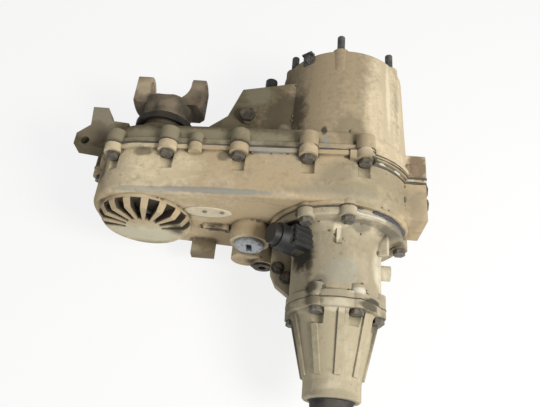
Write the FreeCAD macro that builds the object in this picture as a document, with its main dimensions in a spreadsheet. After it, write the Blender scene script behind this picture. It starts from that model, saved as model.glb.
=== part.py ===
import FreeCAD, Part
import math
import os
import re
import Sketcher
from FreeCAD import Placement, Rotation, Vector

# Chain-driven transfer case, modelled lying level.
# The main shaft runs along Y through the origin, and +Y points towards the transmission.
# The origin is the centre of the face that bolts to the transmission adapter. The front
# output sits beside the main shaft, towards -X. A station is a distance behind that face,
# so a point at station 100 has y = -100.

# ---------------------------------------------------------------- driving dimensions, mm
SIZES = {
    # layout of the two shafts
    "output_spread": 236, "output_rise": 8,
    # stations of the castings
    "face_depth": 34, "box_front": 130, "seam": 161, "box_rear": 224, "seat_end": 228,
    "retainer_flange": 10, "tail_joint": 325, "tail_end": 422,
    # outlines of the castings
    "right_radius": 87, "chain_room": 2.9, "casting_wall": 6, "rim_round": 7,
    "lip_width": 4, "lip_depth": 7, "drum_front_radius": 82, "drum_rear_radius": 86,
    "drum_wall": 9, "recess_inner": 46, "recess_outer": 63, "recess_depth": 20,
    "seat_radius": 84, "retainer_radius": 79, "barrel_radius": 53, "barrel_bore": 44,
    "tail_flange_radius": 56, "tail_flange": 9, "tail_root_radius": 47,
    "tail_tip_radius": 31.5, "tail_wall": 6, "tail_collar": 22, "tail_rib_reach": 4,
    "tail_rib_width": 7, "spigot_radius": 46, "spigot_depth": 10,
    # shift housing beside the drum
    "housing_top": 54, "housing_bottom": 42, "housing_inset": 68, "housing_nose": 132,
    "housing_front": 46, "housing_slope": 54, "housing_right": 40, "housing_step": 14,
    "housing_elbow": 147, "elbow_station": 98,
    # front output boss, yoke and slinger
    "boss_radius": 37, "boss_flare": 6, "boss_front": 106, "slinger_radius": 39,
    "slinger_front": 88, "slinger_thick": 6, "slinger_rim": 6, "yoke_hub_radius": 30,
    "yoke_base": 59, "yoke_half_span": 47, "ear_thick": 18, "ear_width": 40,
    "cap_radius": 13.5, "yoke_spline": 15, "nut_thread": 11, "nut_corner": 17,
    "nut_height": 9, "nut_room": 19,
    # rear dome round the front output
    "dome_radius": 56, "dome_end": 240, "dome_hub": 22, "dome_recess": 49,
    "dome_pit": 12, "rib_thick": 5.5, "rib_pitch": 22, "pit_count": 9,
    # cast details beside the dome and the barrel
    "slot_offset": 154, "slot_drop": 10, "slot_length": 32, "slot_width": 12, "slot_depth": 8,
    "slot_rim": 5, "stub_offset": 170, "stub_drop": 54, "stub_width": 30, "stub_height": 14,
    "stub_end": 246, "web_reach": 78, "web_low": 28, "web_high": 14, "web_end": 306,
    "web_hole": 4.5, "side_stub_station": 272, "side_stub_radius": 9,
    # fasteners
    "stud_circle": 73.5, "stud_turn": 97, "stud_radius": 5, "stud_root": 6, "stud_reach": 28,
    "stud_depth": 22, "lug_taper": 24, "bolt_radius": 4, "head_corner": 7.5, "head_height": 6,
    "lug_radius": 11, "lug_depth": 12, "lug_outset": 4, "thread_depth": 11, "seat_thread": 8,
    # plugs, sensor and switch
    "fill_offset": 106, "fill_drop": 2, "fill_boss": 24, "fill_radius": 18.5,
    "fill_thread": 14, "fill_station": 246, "drain_offset": 90, "drain_drop": 52,
    "drain_boss": 16, "drain_radius": 12, "drain_thread": 9, "drain_station": 254,
    "drain_socket": 6, "sump_boss_offset": 111, "sump_boss_drop": 45, "sump_boss": 20,
    "sensor_station": 255, "sensor_turn": 146, "sensor_radius": 9, "sensor_body": 15,
    "switch_radius": 9, "switch_thread": 6.5, "switch_offset": 98, "switch_rise": 30,
    "vent_radius": 4, "vent_offset": 112, "vent_drop": 16, "side_boss": 14,
    # pads and lugs for brackets
    "pad_reach": 13, "pad_thick": 14, "pad_low": 8, "pad_high": 46, "pad_bolt_gap": 20,
    "pad_bolt_radius": 5, "pad_bolt_station": 178, "pad_bolt_rise": 20, "side_lug_low": 12,
    "side_lug_high": 38, "bracket_reach": 99, "bracket_front": 92, "bracket_low": 24,
    "bracket_high": 46, "bracket_hole": 5.5, "dowel_radius": 4, "dowel_length": 16,
    # shafts, bearings and seals
    "pilot_radius": 17, "journal_radius": 20, "rear_journal": 17.5, "spline_root": 14.6,
    "spline_tip": 16, "spline_teeth": 27, "spline_end": 408, "input_bore": 14,
    "input_bearing_radius": 40, "input_journal": 27.5, "main_bearing_radius": 36,
    "front_journal": 17.5, "front_bearing_radius": 34, "rear_stub": 12.5,
    "rear_bearing_radius": 26, "bearing_width": 17, "rear_bearing_width": 15,
    "race_thick": 4, "running_gap": 0.05, "fit_gap": 0.02, "bearing_seat": 14,
    "ring_groove": 2, "seal_lip": 8, "input_snout": 24,
    # planetary reduction
    "gear_module": 2.2, "sun_teeth": 33, "planet_teeth": 12, "annulus_teeth": 57,
    "gear_front": 46, "gear_width": 20, "planet_pin": 5, "plate_thick": 4,
    "annulus_outer": 71,
    # clutch hubs and forks
    "clutch_radius": 30, "hub_teeth": 29.5, "hub_bore_gap": 0.05, "groove_radius": 25,
    "flange_radius": 33, "range_travel": 17, "mode_travel": 9, "rail_radius": 7,
    "rail_offset": 96, "fork_outer": 38, "fork_hub": 12.5, "fork_side_gap": 0.3,
    # chain drive
    "sprocket_teeth": 36, "sprocket_tip": 52, "sprocket_root": 47, "sprocket_width": 30,
    "sprocket_front": 175, "chain_thick": 3.6, "chain_gap": 0.5,
    # oil pump and pickup
    "pump_front": 266, "pump_width": 16, "rotor_radius": 24.7, "pump_wall": 3,
    "tube_radius": 3.5, "tube_offset": 40, "tube_bend": 5, "tube_station": 213, "sump_offset": 96,
    "sump_drop": 50, "screen_length": 34, "screen_width": 20, "screen_depth": 8,
    "magnet_radius": 9, "magnet_thick": 5, "magnet_offset": 54, "magnet_room": 10,
    # shift shaft, sector and lever
    "shift_station": 100, "shift_rise": 2, "shift_radius": 7, "sector_radius": 34,
    "sector_thick": 6, "lever_reach": 46, "lever_thick": 5, "lever_width": 16,
    "lever_hole": 4, "lever_turn": -60, "detent_radius": 4.5, "detent_plug": 7,
    "sector_offset": 118, "spot_gap": 1.2, "plunger_length": 9, "spring_length": 6,
}

DOC = FreeCAD.newDocument("transfer_case")
SHEET = DOC.addObject("Spreadsheet::Sheet", "sizes")
for row, (alias, size) in enumerate(SIZES.items(), start=1):
    SHEET.set(f"A{row}", str(size))
    SHEET.setAlias(f"A{row}", alias)
DOC.recompute()

# Sizes and places that follow from the driving dimensions, as formulas.
DERIVED = {
    "left_radius": "(sprocket_tip + chain_gap + chain_thick + chain_room + casting_wall)",
    "housing_left": "(output_spread - housing_inset)",
    "pad_face": "(right_radius + pad_reach)",
    "cap_station": "(yoke_base - yoke_half_span + ear_thick)",
    "lever_face": "(-housing_left - 9)",
    "sector_face": "(-sector_offset - sector_thick)",
}
OUTPUT_X = "(-output_spread)"
OUTPUT_Z = "output_rise"
DETENT_X = "(-sector_offset - sector_thick / 2)"
REACH = "sqrt(output_spread^2 + output_rise^2)"
AXIS_TILT = "(atan2(output_rise; -output_spread) / 1deg)"
UPPER = f"({AXIS_TILT} - acos((right_radius - left_radius) / {REACH}) / 1deg)"
LOWER = f"({AXIS_TILT} + acos((right_radius - left_radius) / {REACH}) / 1deg)"

TOWARD = {
    "rear": Rotation(Vector(1, 0, 0), 90), "front": Rotation(Vector(1, 0, 0), -90),
    "right": Rotation(Vector(0, 1, 0), 90), "left": Rotation(Vector(0, 1, 0), -90),
    "up": Rotation(), "down": Rotation(Vector(1, 0, 0), 180),
}
NODES = []


# ---------------------------------------------------------------- formulas and sketches
def spell(word):
    """One word of a formula, as an expression needs it."""
    if word in DERIVED:
        return formula(DERIVED[word])
    return "sizes." + word if word in SIZES else word


def formula(text):
    """A formula of size names, as an expression needs it."""
    return re.sub(r"[a-z_]+", lambda found: spell(found[0]), str(text))


def number(text):
    return float(SHEET.evalExpression(formula(text)))


def minus(text):
    return f"-({text})"


def bind(item, **settings):
    """Tie properties of an object to formulas."""
    for name, text in settings.items():
        item.setExpression(name.replace("__", "."), formula(text))


def place(item, x="0", station="0", z="0", turn=None):
    """Put an object at x, station and z, turned by a rotation."""
    item.Placement = Placement(Vector(number(x), -number(station), number(z)), turn or Rotation())
    bind(item, Placement__Base__x=x, Placement__Base__y=minus(station), Placement__Base__z=z)
    return item


def polar(radius, turn, x="0", z="0"):
    """Formulas for the point at a radius and an angle about an axis along Y."""
    return f"{x} + ({radius}) * cos({turn})", f"{z} + ({radius}) * sin({turn})"


def new_sketch(body, name, role, lift="0"):
    """A sketch on one of the body's own origin planes, lifted along its normal."""
    sketch = body.newObject("Sketcher::SketchObject", name)
    base = next(item for item in body.Origin.OriginFeatures if item.Role == role)
    sketch.AttachmentSupport = [(base, "")]
    sketch.MapMode = "FlatFace"
    bind(sketch, AttachmentOffset__Base__z=lift)
    return sketch


def rule(sketch, kind, *where, text):
    """A sketch dimension tied to a formula."""
    row = sketch.addConstraint(Sketcher.Constraint(kind, *where, number(text)))
    sketch.setExpression(f"Constraints[{row}]", formula(text))


def pin_point(sketch, item, spot, across, along):
    rule(sketch, "DistanceX", item, spot, text=across)
    rule(sketch, "DistanceY", item, spot, text=along)


def draw_polygon(sketch, corners):
    """A closed polygon whose corners are pairs of formulas."""
    spots = [Vector(number(across), number(along), 0) for across, along in corners]
    lines = []
    for start, stop in zip(spots, spots[1:] + spots[:1]):
        lines.append(sketch.addGeometry(Part.LineSegment(start, stop), False))
    for line, following in zip(lines, lines[1:] + lines[:1]):
        sketch.addConstraint(Sketcher.Constraint("Coincident", line, 2, following, 1))
    for line, (across, along) in zip(lines, corners):
        pin_point(sketch, line, 1, across, along)


def draw_outline(sketch, right, left, shrink="0"):
    """The case outline: an arc about each shaft, joined by two tangent lines."""
    wide = number(f"{right} - ({shrink})")
    narrow = number(f"{left} - ({shrink})")
    far = Vector(number(OUTPUT_X), number(OUTPUT_Z), 0)
    upper, lower = math.radians(number(UPPER)), math.radians(number(LOWER))

    def touch(centre, radius, turn):
        return centre + Vector(radius * math.cos(turn), radius * math.sin(turn), 0)

    home, axis = Vector(), Vector(0, 0, 1)
    pieces = [
        Part.ArcOfCircle(Part.Circle(home, axis, wide), lower - 2 * math.pi, upper),
        Part.LineSegment(touch(home, wide, upper), touch(far, narrow, upper)),
        Part.ArcOfCircle(Part.Circle(far, axis, narrow), upper, lower),
        Part.LineSegment(touch(far, narrow, lower), touch(home, wide, lower)),
    ]
    big, top, small, bottom = [sketch.addGeometry(piece, False) for piece in pieces]
    sketch.addConstraint(Sketcher.Constraint("Coincident", big, 3, -1, 1))
    for one, other in ((big, top), (top, small), (small, bottom), (bottom, big)):
        sketch.addConstraint(Sketcher.Constraint("Tangent", one, 2, other, 1))
    pin_point(sketch, small, 3, OUTPUT_X, OUTPUT_Z)
    rule(sketch, "Radius", big, text=f"{right} - ({shrink})")
    rule(sketch, "Radius", small, text=f"{left} - ({shrink})")


# ---------------------------------------------------------------- PartDesign helpers
def new_body(name, x="0", z="0"):
    body = DOC.addObject("PartDesign::Body", name)
    return place(body, x=x, z=z)


def pad(body, sketch, length, rearward=True):
    item = body.newObject("PartDesign::Pad", sketch.Name + "_pad")
    item.Profile = sketch
    item.Reversed = not rearward
    bind(item, Length=length)
    sketch.Visibility = False
    return item


def pocket(body, sketch, length):
    """Cut rearward from a sketch that faces the rear."""
    item = body.newObject("PartDesign::Pocket", sketch.Name + "_pocket")
    item.Profile = sketch
    item.Reversed = True
    bind(item, Length=length)
    return item


def revolve(body, name, corners, kind="PartDesign::Revolution"):
    """Turn a profile of (radius, station) corners about the body's Y axis."""
    sketch = new_sketch(body, name + "_profile", "XY_Plane")
    draw_polygon(sketch, [(radius, minus(station)) for radius, station in corners])
    item = body.newObject(kind, name + "_turned")
    item.Profile = sketch
    item.ReferenceAxis = (sketch, ["V_Axis"])
    item.Angle = 360
    return item


def turned(name, corners, x="0", z="0"):
    """A body of revolution about an axis along Y."""
    body = new_body(name, x, z)
    revolve(body, name, corners)
    return body


def ring(name, outer, inner, start, length, x="0", z="0"):
    stop = f"{start} + {length}"
    return turned(name, [(inner, start), (outer, start), (outer, stop), (inner, stop)], x, z)


# ---------------------------------------------------------------- Part helpers
def cylinder(radius, length, x="0", station="0", z="0", toward="rear"):
    item = DOC.addObject("Part::Cylinder", "rod")
    bind(item, Radius=radius, Height=length)
    return place(item, x, station, z, TOWARD[toward])


def cone(start, stop, length, x="0", station="0", z="0", toward="rear"):
    item = DOC.addObject("Part::Cone", "taper")
    bind(item, Radius1=start, Radius2=stop, Height=length)
    return place(item, x, station, z, TOWARD[toward])


def hexagon(corner, length, x="0", station="0", z="0", toward="rear"):
    item = DOC.addObject("Part::Prism", "hex_head")
    item.Polygon = 6
    bind(item, Circumradius=corner, Height=length)
    return place(item, x, station, z, TOWARD[toward])


def block(low, high):
    """A box between two corners, each (x, station, z); the first has the lower station."""
    item = DOC.addObject("Part::Box", "block")
    bind(item, Length=f"{high[0]} - ({low[0]})", Width=f"{high[1]} - ({low[1]})",
         Height=f"{high[2]} - ({low[2]})")
    return place(item, low[0], high[1], low[2])


def spoke(inner, outer, thick, start, depth, turn, x="0", z="0"):
    """A flat rib that stands radially about an axis along Y."""
    item = DOC.addObject("Part::Box", "spoke")
    bind(item, Length=f"{outer} - ({inner})", Width=thick, Height=depth)
    angle = number(turn)
    heading = Rotation(Vector(0, -1, 0), angle) * TOWARD["rear"]
    across, rise = polar(inner, turn, x, z)
    half = f"({thick}) / 2"
    return place(item, f"{across} + {half} * sin({turn})", start,
                 f"{rise} - {half} * cos({turn})", heading)


def fuse(name, items):
    item = DOC.addObject("Part::MultiFuse", name)
    item.Shapes = list(items)
    item.Refine = True
    return item


def cut(name, base, tools):
    item = DOC.addObject("Part::Cut", name)
    item.Base = base
    item.Tool = tools[0] if len(tools) == 1 else fuse(name + "_tools", tools)
    item.Refine = True
    return item


def node(name, item):
    """Give a finished sub-part its node name."""
    item.Label = name
    NODES.append(item)
    return item


def polygon_solid(name, points, start, length):
    """A solid of constant section along Y from a list of (x, z) points."""
    corners = [Vector(x, -start, z) for x, z in points]
    face = Part.Face(Part.makePolygon(corners + corners[:1]))
    item = DOC.addObject("Part::Feature", name)
    item.Shape = face.extrude(Vector(0, -length, 0))
    return item


# ---------------------------------------------------------------- where the joint lugs are
def seam_lugs():
    """Centres of the lugs round the case joint, as (x, z) formulas."""
    spots = []
    for turn in (76, 20, -36, -86):
        spots.append(polar("right_radius + lug_outset", turn))
    for share, edge in ((0.16, UPPER), (0.5, UPPER), (0.86, UPPER), (0.42, LOWER), (0.86, LOWER)):
        reach = f"right_radius + {share} * (left_radius - right_radius) + lug_outset"
        spots.append(polar(reach, edge, f"{share} * {OUTPUT_X}", f"{share} * {OUTPUT_Z}"))
    for turn in (124, 182, 228):
        spots.append(polar("left_radius + lug_outset", turn, OUTPUT_X, OUTPUT_Z))
    return spots


def dowel_places():
    spots = []
    for share, edge in ((0.72, UPPER), (0.64, LOWER)):
        reach = f"right_radius + {share} * (left_radius - right_radius) + dowel_radius - 1"
        spots.append(polar(reach, edge, f"{share} * {OUTPUT_X}", f"{share} * {OUTPUT_Z}"))
    return spots


def retainer_lugs():
    return [polar("retainer_radius - 3", turn) for turn in (86, 122, -152, -96, -48, -2)]


def tail_lugs():
    return [polar("tail_flange_radius - 6", turn) for turn in (118, 66, 22, -45, -100, -160)]


def stud_places():
    return [polar("stud_circle", f"(stud_turn + {60 * step})") for step in range(6)]


def bolts(name, places, face, radius="bolt_radius", corner="head_corner", into="thread_depth"):
    """Hex bolts whose heads sit behind a face, one solid each."""
    items = []
    for x, z in places:
        items.append(cylinder(radius, f"{into} + 1", x, f"{face} - ({into})", z))
        items.append(hexagon(corner, "head_height", x, face, z))
    return node(name, fuse(name, items))


# ---------------------------------------------------------------- castings
def half_shell(name, start, stop, rear_closed):
    """The chain-box part of a case half: outline, joint lip and rounded outer rim."""
    body = new_body(name)
    sketch = new_sketch(body, name + "_outline", "XZ_Plane", start)
    draw_outline(sketch, "right_radius", "left_radius")
    solid = pad(body, sketch, f"{stop} - ({start})")
    DOC.recompute()
    outer = number(stop) if rear_closed else number(start)
    edges = []
    for count, edge in enumerate(solid.Shape.Edges, start=1):
        if abs(edge.BoundBox.YMin + outer) < 0.01 and abs(edge.BoundBox.YMax + outer) < 0.01:
            edges.append(f"Edge{count}")
    rounded = body.newObject("PartDesign::Fillet", name + "_rim")
    rounded.Base = (solid, edges)
    bind(rounded, Radius="rim_round")
    lip_start = start if rear_closed else f"{stop} - lip_depth"
    lip = new_sketch(body, name + "_lip", "XZ_Plane", lip_start)
    draw_outline(lip, "right_radius", "left_radius", "-lip_width")
    pad(body, lip, "lip_depth")
    return body


def shell_cavity(name, start, length):
    """The space inside a case half, cut when all its bosses are on the wall."""
    body = new_body(name)
    sketch = new_sketch(body, name + "_outline", "XZ_Plane", start)
    draw_outline(sketch, "right_radius", "left_radius", "casting_wall")
    pad(body, sketch, length)
    return body


def housing_block(name, inset, top, bottom):
    """The plan shape of the shift housing, standing between two levels."""
    body = new_body(name)
    sketch = new_sketch(body, name + "_plan", "XY_Plane", f"-({bottom})")
    left, rear = f"-housing_left + {inset}", "box_front + casting_wall"
    corners = [
        ("-housing_right", rear), (left, rear), (left, f"box_front - housing_step + {inset} / 2"),
        (f"-housing_elbow + {inset}", f"elbow_station + {inset} / 2"),
        (f"-housing_nose + {inset} / 2", f"housing_slope + {inset}"),
        ("-switch_offset", f"housing_front + {inset}"),
        ("-housing_right", f"housing_front - housing_step + {inset}"),
    ]
    draw_polygon(sketch, [(across, minus(station)) for across, station in corners])
    item = body.newObject("PartDesign::Pad", name + "_pad")
    item.Profile = sketch
    bind(item, Length=f"({top}) + ({bottom})")
    return body


def make_front_case():
    shell = half_shell("front_shell", "box_front", "seam", False)
    drum = turned("drum", [
        ("0", "0"), ("drum_front_radius - 3", "0"), ("drum_front_radius", "3"),
        ("drum_rear_radius", "box_front + casting_wall"), ("0", "box_front + casting_wall"),
    ])
    housing = housing_block("housing", "0", "housing_top", "housing_bottom")
    boss = turned("output_boss", [
        ("0", "boss_front"), ("boss_radius - 3", "boss_front"), ("boss_radius", "boss_front + 3"),
        ("boss_radius + boss_flare", "box_front + 2"), ("0", "box_front + 2"),
    ], OUTPUT_X, OUTPUT_Z)
    solids = [shell, drum, housing, boss]
    for turn in (25, 205, 265, 325):
        solids.append(spoke("boss_radius - 4", "left_radius - 3", "rib_thick", "boss_front + 10",
                            "box_front - boss_front - 8", turn, OUTPUT_X, OUTPUT_Z))
    for x, z in stud_places():
        solids.append(cylinder("lug_radius", "face_depth", x, "0", z))
        solids.append(cone("lug_radius", "lug_radius - 5", "lug_taper", x, "face_depth", z))
    for x, z in seam_lugs():
        solids.append(cylinder("lug_radius", "lug_depth + 6", x, "seam - lug_depth - 6", z))
    for x, z in dowel_places():
        solids.append(cylinder("dowel_radius + 4", "lug_depth", x, "seam - lug_depth", z))
    # cast bracket on the free end of the box
    wing = new_body("bracket")
    plan = new_sketch(wing, "bracket_plan", "XY_Plane", "bracket_low")
    root = "-output_spread - left_radius + 25"
    tip = "-output_spread - bracket_reach"
    corners = [
        (root, "box_front + 4"), (f"{root} + 4", "box_front - 16"),
        (f"{root} - 18", "box_front - 18"), (f"{tip} + 32", "bracket_front"),
        (f"{tip} + 12", "bracket_front"), (f"{tip} + 15", "box_front - 10"),
        (tip, "box_front + 4"), (tip, "seam - 11"),
        (root, "seam - 4"),
    ]
    draw_polygon(plan, [(across, minus(station)) for across, station in corners])
    plate = wing.newObject("PartDesign::Pad", "bracket_pad")
    plate.Profile = plan
    bind(plate, Length="bracket_high - bracket_low")
    solids.append(wing)
    # lug on the right for the mount bracket
    solids.append(block(("right_radius - 14", "box_front - 2", "side_lug_low"),
                        ("pad_face + 3", "seam - 3", "side_lug_high")))
    # bosses for the shift shaft, the detent and the switch
    solids.append(cylinder("shift_radius + 8", "housing_left - housing_elbow + 6",
                           "-housing_left + 2", "shift_station", "shift_rise", "right"))
    solids.append(cylinder("detent_plug + 3", "22", DETENT_X, "shift_station", "housing_top - 16",
                           "up"))
    solids.append(cylinder("switch_radius + 4", "side_boss", "-switch_offset",
                           "housing_front - 6", "switch_rise"))
    solids.append(cylinder("vent_radius + 4", "side_boss", "-vent_offset", "housing_front - 2",
                           "-vent_drop"))
    casting = fuse("front_casting", solids)
    tools = [
        shell_cavity("front_cavity", "box_front + casting_wall",
                     "seam - box_front - casting_wall + 1"),
        turned("drum_cavity", [
            ("0", "-1"), ("input_snout + seal_lip", "-1"),
            ("input_snout + seal_lip", "bearing_seat - 2"),
            ("input_bearing_radius - 3", "bearing_seat - 2"),
            ("input_bearing_radius - 3", "bearing_seat"), ("input_bearing_radius", "bearing_seat"),
            ("input_bearing_radius", "face_depth + ring_groove"),
            ("annulus_outer", "face_depth + ring_groove"),
            ("annulus_outer", "gear_front + gear_width + 4"),
            ("drum_rear_radius - drum_wall - 2", "gear_front + gear_width + 12"),
            ("drum_rear_radius - drum_wall", "box_front + casting_wall + 1"),
            ("0", "box_front + casting_wall + 1"),
        ]),
        ring("face_recess", "recess_outer", "recess_inner", "-1", "recess_depth + 1"),
        housing_block("housing_cavity", "casting_wall", "housing_top - casting_wall",
                      "housing_bottom - casting_wall"),
        turned("output_bore", [
            ("0", "boss_front - 1"), ("front_journal + seal_lip", "boss_front - 1"),
            ("front_journal + seal_lip", "boss_front + bearing_seat - 2"),
            ("front_bearing_radius - 4", "boss_front + bearing_seat - 2"),
            ("front_bearing_radius - 4", "boss_front + bearing_seat"),
            ("front_bearing_radius", "boss_front + bearing_seat"),
            ("front_bearing_radius", "box_front + casting_wall + 1"),
            ("0", "box_front + casting_wall + 1"),
        ], OUTPUT_X, OUTPUT_Z),
        cylinder("shift_radius + running_gap", "60", "-housing_left - 2", "shift_station",
                 "shift_rise", "right"),
        cylinder("shift_radius + 4", "6", "-housing_left - 2", "shift_station",
                 "shift_rise", "right"),
        cylinder("detent_plug - 2", "30", DETENT_X, "shift_station", "housing_top - 6", "up"),
        cylinder("detent_radius + running_gap", "30", DETENT_X, "shift_station",
                 "housing_top - 18", "up"),
        cylinder("switch_thread", "40", "-switch_offset", "housing_front - 20", "switch_rise"),
        cylinder("vent_radius", "40", "-vent_offset", "housing_front - 4", "-vent_drop"),
        cylinder("rail_radius + fit_gap", "12", "-rail_offset", "housing_front + 3", "0"),
        cylinder("bracket_hole", "bracket_high - bracket_low + 2", f"{tip} + 13",
                 "box_front + 14", "bracket_low - 1", "up"),
    ]
    for x, z in stud_places():
        tools.append(cylinder("stud_root", "stud_depth + 1", x, "-1", z))
    for x, z in seam_lugs():
        tools.append(cylinder("bolt_radius", "thread_depth + 1", x, "seam - thread_depth", z))
    for x, z in dowel_places():
        tools.append(cylinder("dowel_radius", "dowel_length", x, "seam - dowel_length / 2", z))
    return node("front_case", cut("front_case_cut", casting, tools))


def make_rear_case():
    shell = half_shell("rear_shell", "seam", "box_rear", True)
    seat = turned("retainer_seat", [
        ("0", "box_rear - casting_wall"), ("right_radius - 4", "box_rear - casting_wall"),
        ("seat_radius", "box_rear + 1"),
        ("seat_radius", "seat_end"), ("0", "seat_end"),
    ])
    dome = turned("dome", [
        ("0", "box_rear - casting_wall"), ("dome_radius", "box_rear - casting_wall"),
        ("dome_radius", "dome_end - 9"), ("dome_recess", "dome_end - 1"), ("0", "dome_end + 2"),
    ], OUTPUT_X, OUTPUT_Z)
    solids = [shell, seat, dome]
    for x, z in seam_lugs():
        solids.append(cylinder("lug_radius", "lug_depth", x, "seam", z))
    for x, z in dowel_places():
        solids.append(cylinder("dowel_radius + 4", "lug_depth", x, "seam", z))
    # square boss over the joint, and the fill and drain bosses
    solids.append(block(("4", "seam", "right_radius - 9"),
                        ("30", "seam + lug_depth", "right_radius + 6")))
    solids.append(cylinder("fill_boss", "fill_station - box_rear + casting_wall",
                           "-fill_offset", "box_rear - casting_wall", "-fill_drop"))
    solids.append(cylinder("drain_boss", "drain_station - box_rear + casting_wall",
                           "-drain_offset", "box_rear - casting_wall", "-drain_drop"))
    solids.append(cylinder("sump_boss", "drain_station - box_rear + casting_wall - 4",
                           "-sump_boss_offset", "box_rear - casting_wall", "-sump_boss_drop"))
    for x, z in retainer_lugs():
        solids.append(cylinder("lug_radius - 1", "seat_end - box_rear + casting_wall", x,
                               "box_rear - casting_wall", z))
    # flat pad on the right for the mount
    solids.append(block(("right_radius - 26", "seam + 2", "-pad_low"),
                        ("pad_face", "box_rear - 2", "pad_high")))
    # raised rim of the slot beside the dome, and the stub below it
    wall = "box_rear - casting_wall"
    slot_end = f"{wall} + slot_depth + 4"
    rim = ["slot_length / 2 + slot_rim", "slot_width / 2 + slot_rim"]
    solids.append(block((f"-slot_offset - {rim[0]}", wall, f"-slot_drop - {rim[1]}"),
                        (f"-slot_offset + {rim[0]}", slot_end, f"-slot_drop + {rim[1]}")))
    solids.append(block(("-stub_offset - stub_width / 2", wall, "-stub_drop - stub_height / 2"),
                        ("-stub_offset + stub_width / 2", "stub_end",
                         "-stub_drop + stub_height / 2")))
    casting = fuse("rear_casting", solids)
    tools = [
        shell_cavity("rear_cavity", "seam - 1", "box_rear - casting_wall - seam + 1"),
        block(("-slot_offset - slot_length / 2", f"{wall} + 4", "-slot_drop - slot_width / 2"),
              ("-slot_offset + slot_length / 2", f"{slot_end} + 1",
               "-slot_drop + slot_width / 2")),
        turned("rear_opening", [
            ("0", "box_rear - casting_wall - 3"), ("spigot_radius", "box_rear - casting_wall - 3"),
            ("spigot_radius", "seat_end + 1"), ("0", "seat_end + 1"),
        ]),
        ring("rear_bearing_bore", "rear_bearing_radius", "0", "box_rear - casting_wall - 1",
             "rear_bearing_width + 1", OUTPUT_X, OUTPUT_Z),
        cylinder("fill_thread", "60", "-fill_offset", "box_rear - casting_wall - 8", "-fill_drop"),
        cylinder("drain_thread", "60", "-drain_offset", "box_rear - casting_wall - 8",
                 "-drain_drop"),
    ]
    # open fan of pits between the radial ribs of the dome
    pits = int(number("pit_count"))
    for step in range(pits):
        tools.append(pit(f"(90 + {step - (pits - 1) / 2} * rib_pitch)"))
    for x, z in seam_lugs():
        tools.append(cylinder("bolt_radius", "lug_depth + 3", x, "seam - 1", z))
        tools.append(cylinder("head_corner + spot_gap", "20", x, "seam + lug_depth", z))
    for x, z in dowel_places():
        tools.append(cylinder("dowel_radius", "dowel_length", x, "seam - dowel_length / 2", z))
    for x, z in retainer_lugs():
        tools.append(cylinder("bolt_radius", "seat_thread + 1", x, "seat_end - seat_thread", z))
    for side in ("-0.5", "0.5"):
        tools.append(cylinder("pad_bolt_radius", "pad_thick", "pad_face - pad_thick + 1",
                              f"pad_bolt_station + {side} * pad_bolt_gap", "pad_bolt_rise", "right"))
    return node("rear_case", cut("rear_case_cut", casting, tools))


def pit(turn):
    """One open pocket between two radial ribs of the dome, as part of a ring sector."""
    width = "(rib_pitch - 2 * asin(rib_thick / (dome_recess + dome_hub)) / 1deg)"
    wedge = DOC.addObject("Part::Cylinder", "pit_sector")
    bind(wedge, Radius="dome_radius + 1", Height="dome_pit + 4", Angle=width)
    begin = number(f"{turn} - {width} / 2")
    place(wedge, OUTPUT_X, "dome_end - dome_pit", OUTPUT_Z,
          Rotation(Vector(0, -1, 0), begin) * TOWARD["rear"])
    core = cylinder("dome_hub", "dome_pit + 6", OUTPUT_X, "dome_end - dome_pit - 1", OUTPUT_Z)
    return cut("pit", wedge, [core])


BEARING_START = "(seat_end - spigot_depth + ring_groove + 1)"
BEARING_END = f"({BEARING_START} + bearing_width)"


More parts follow.
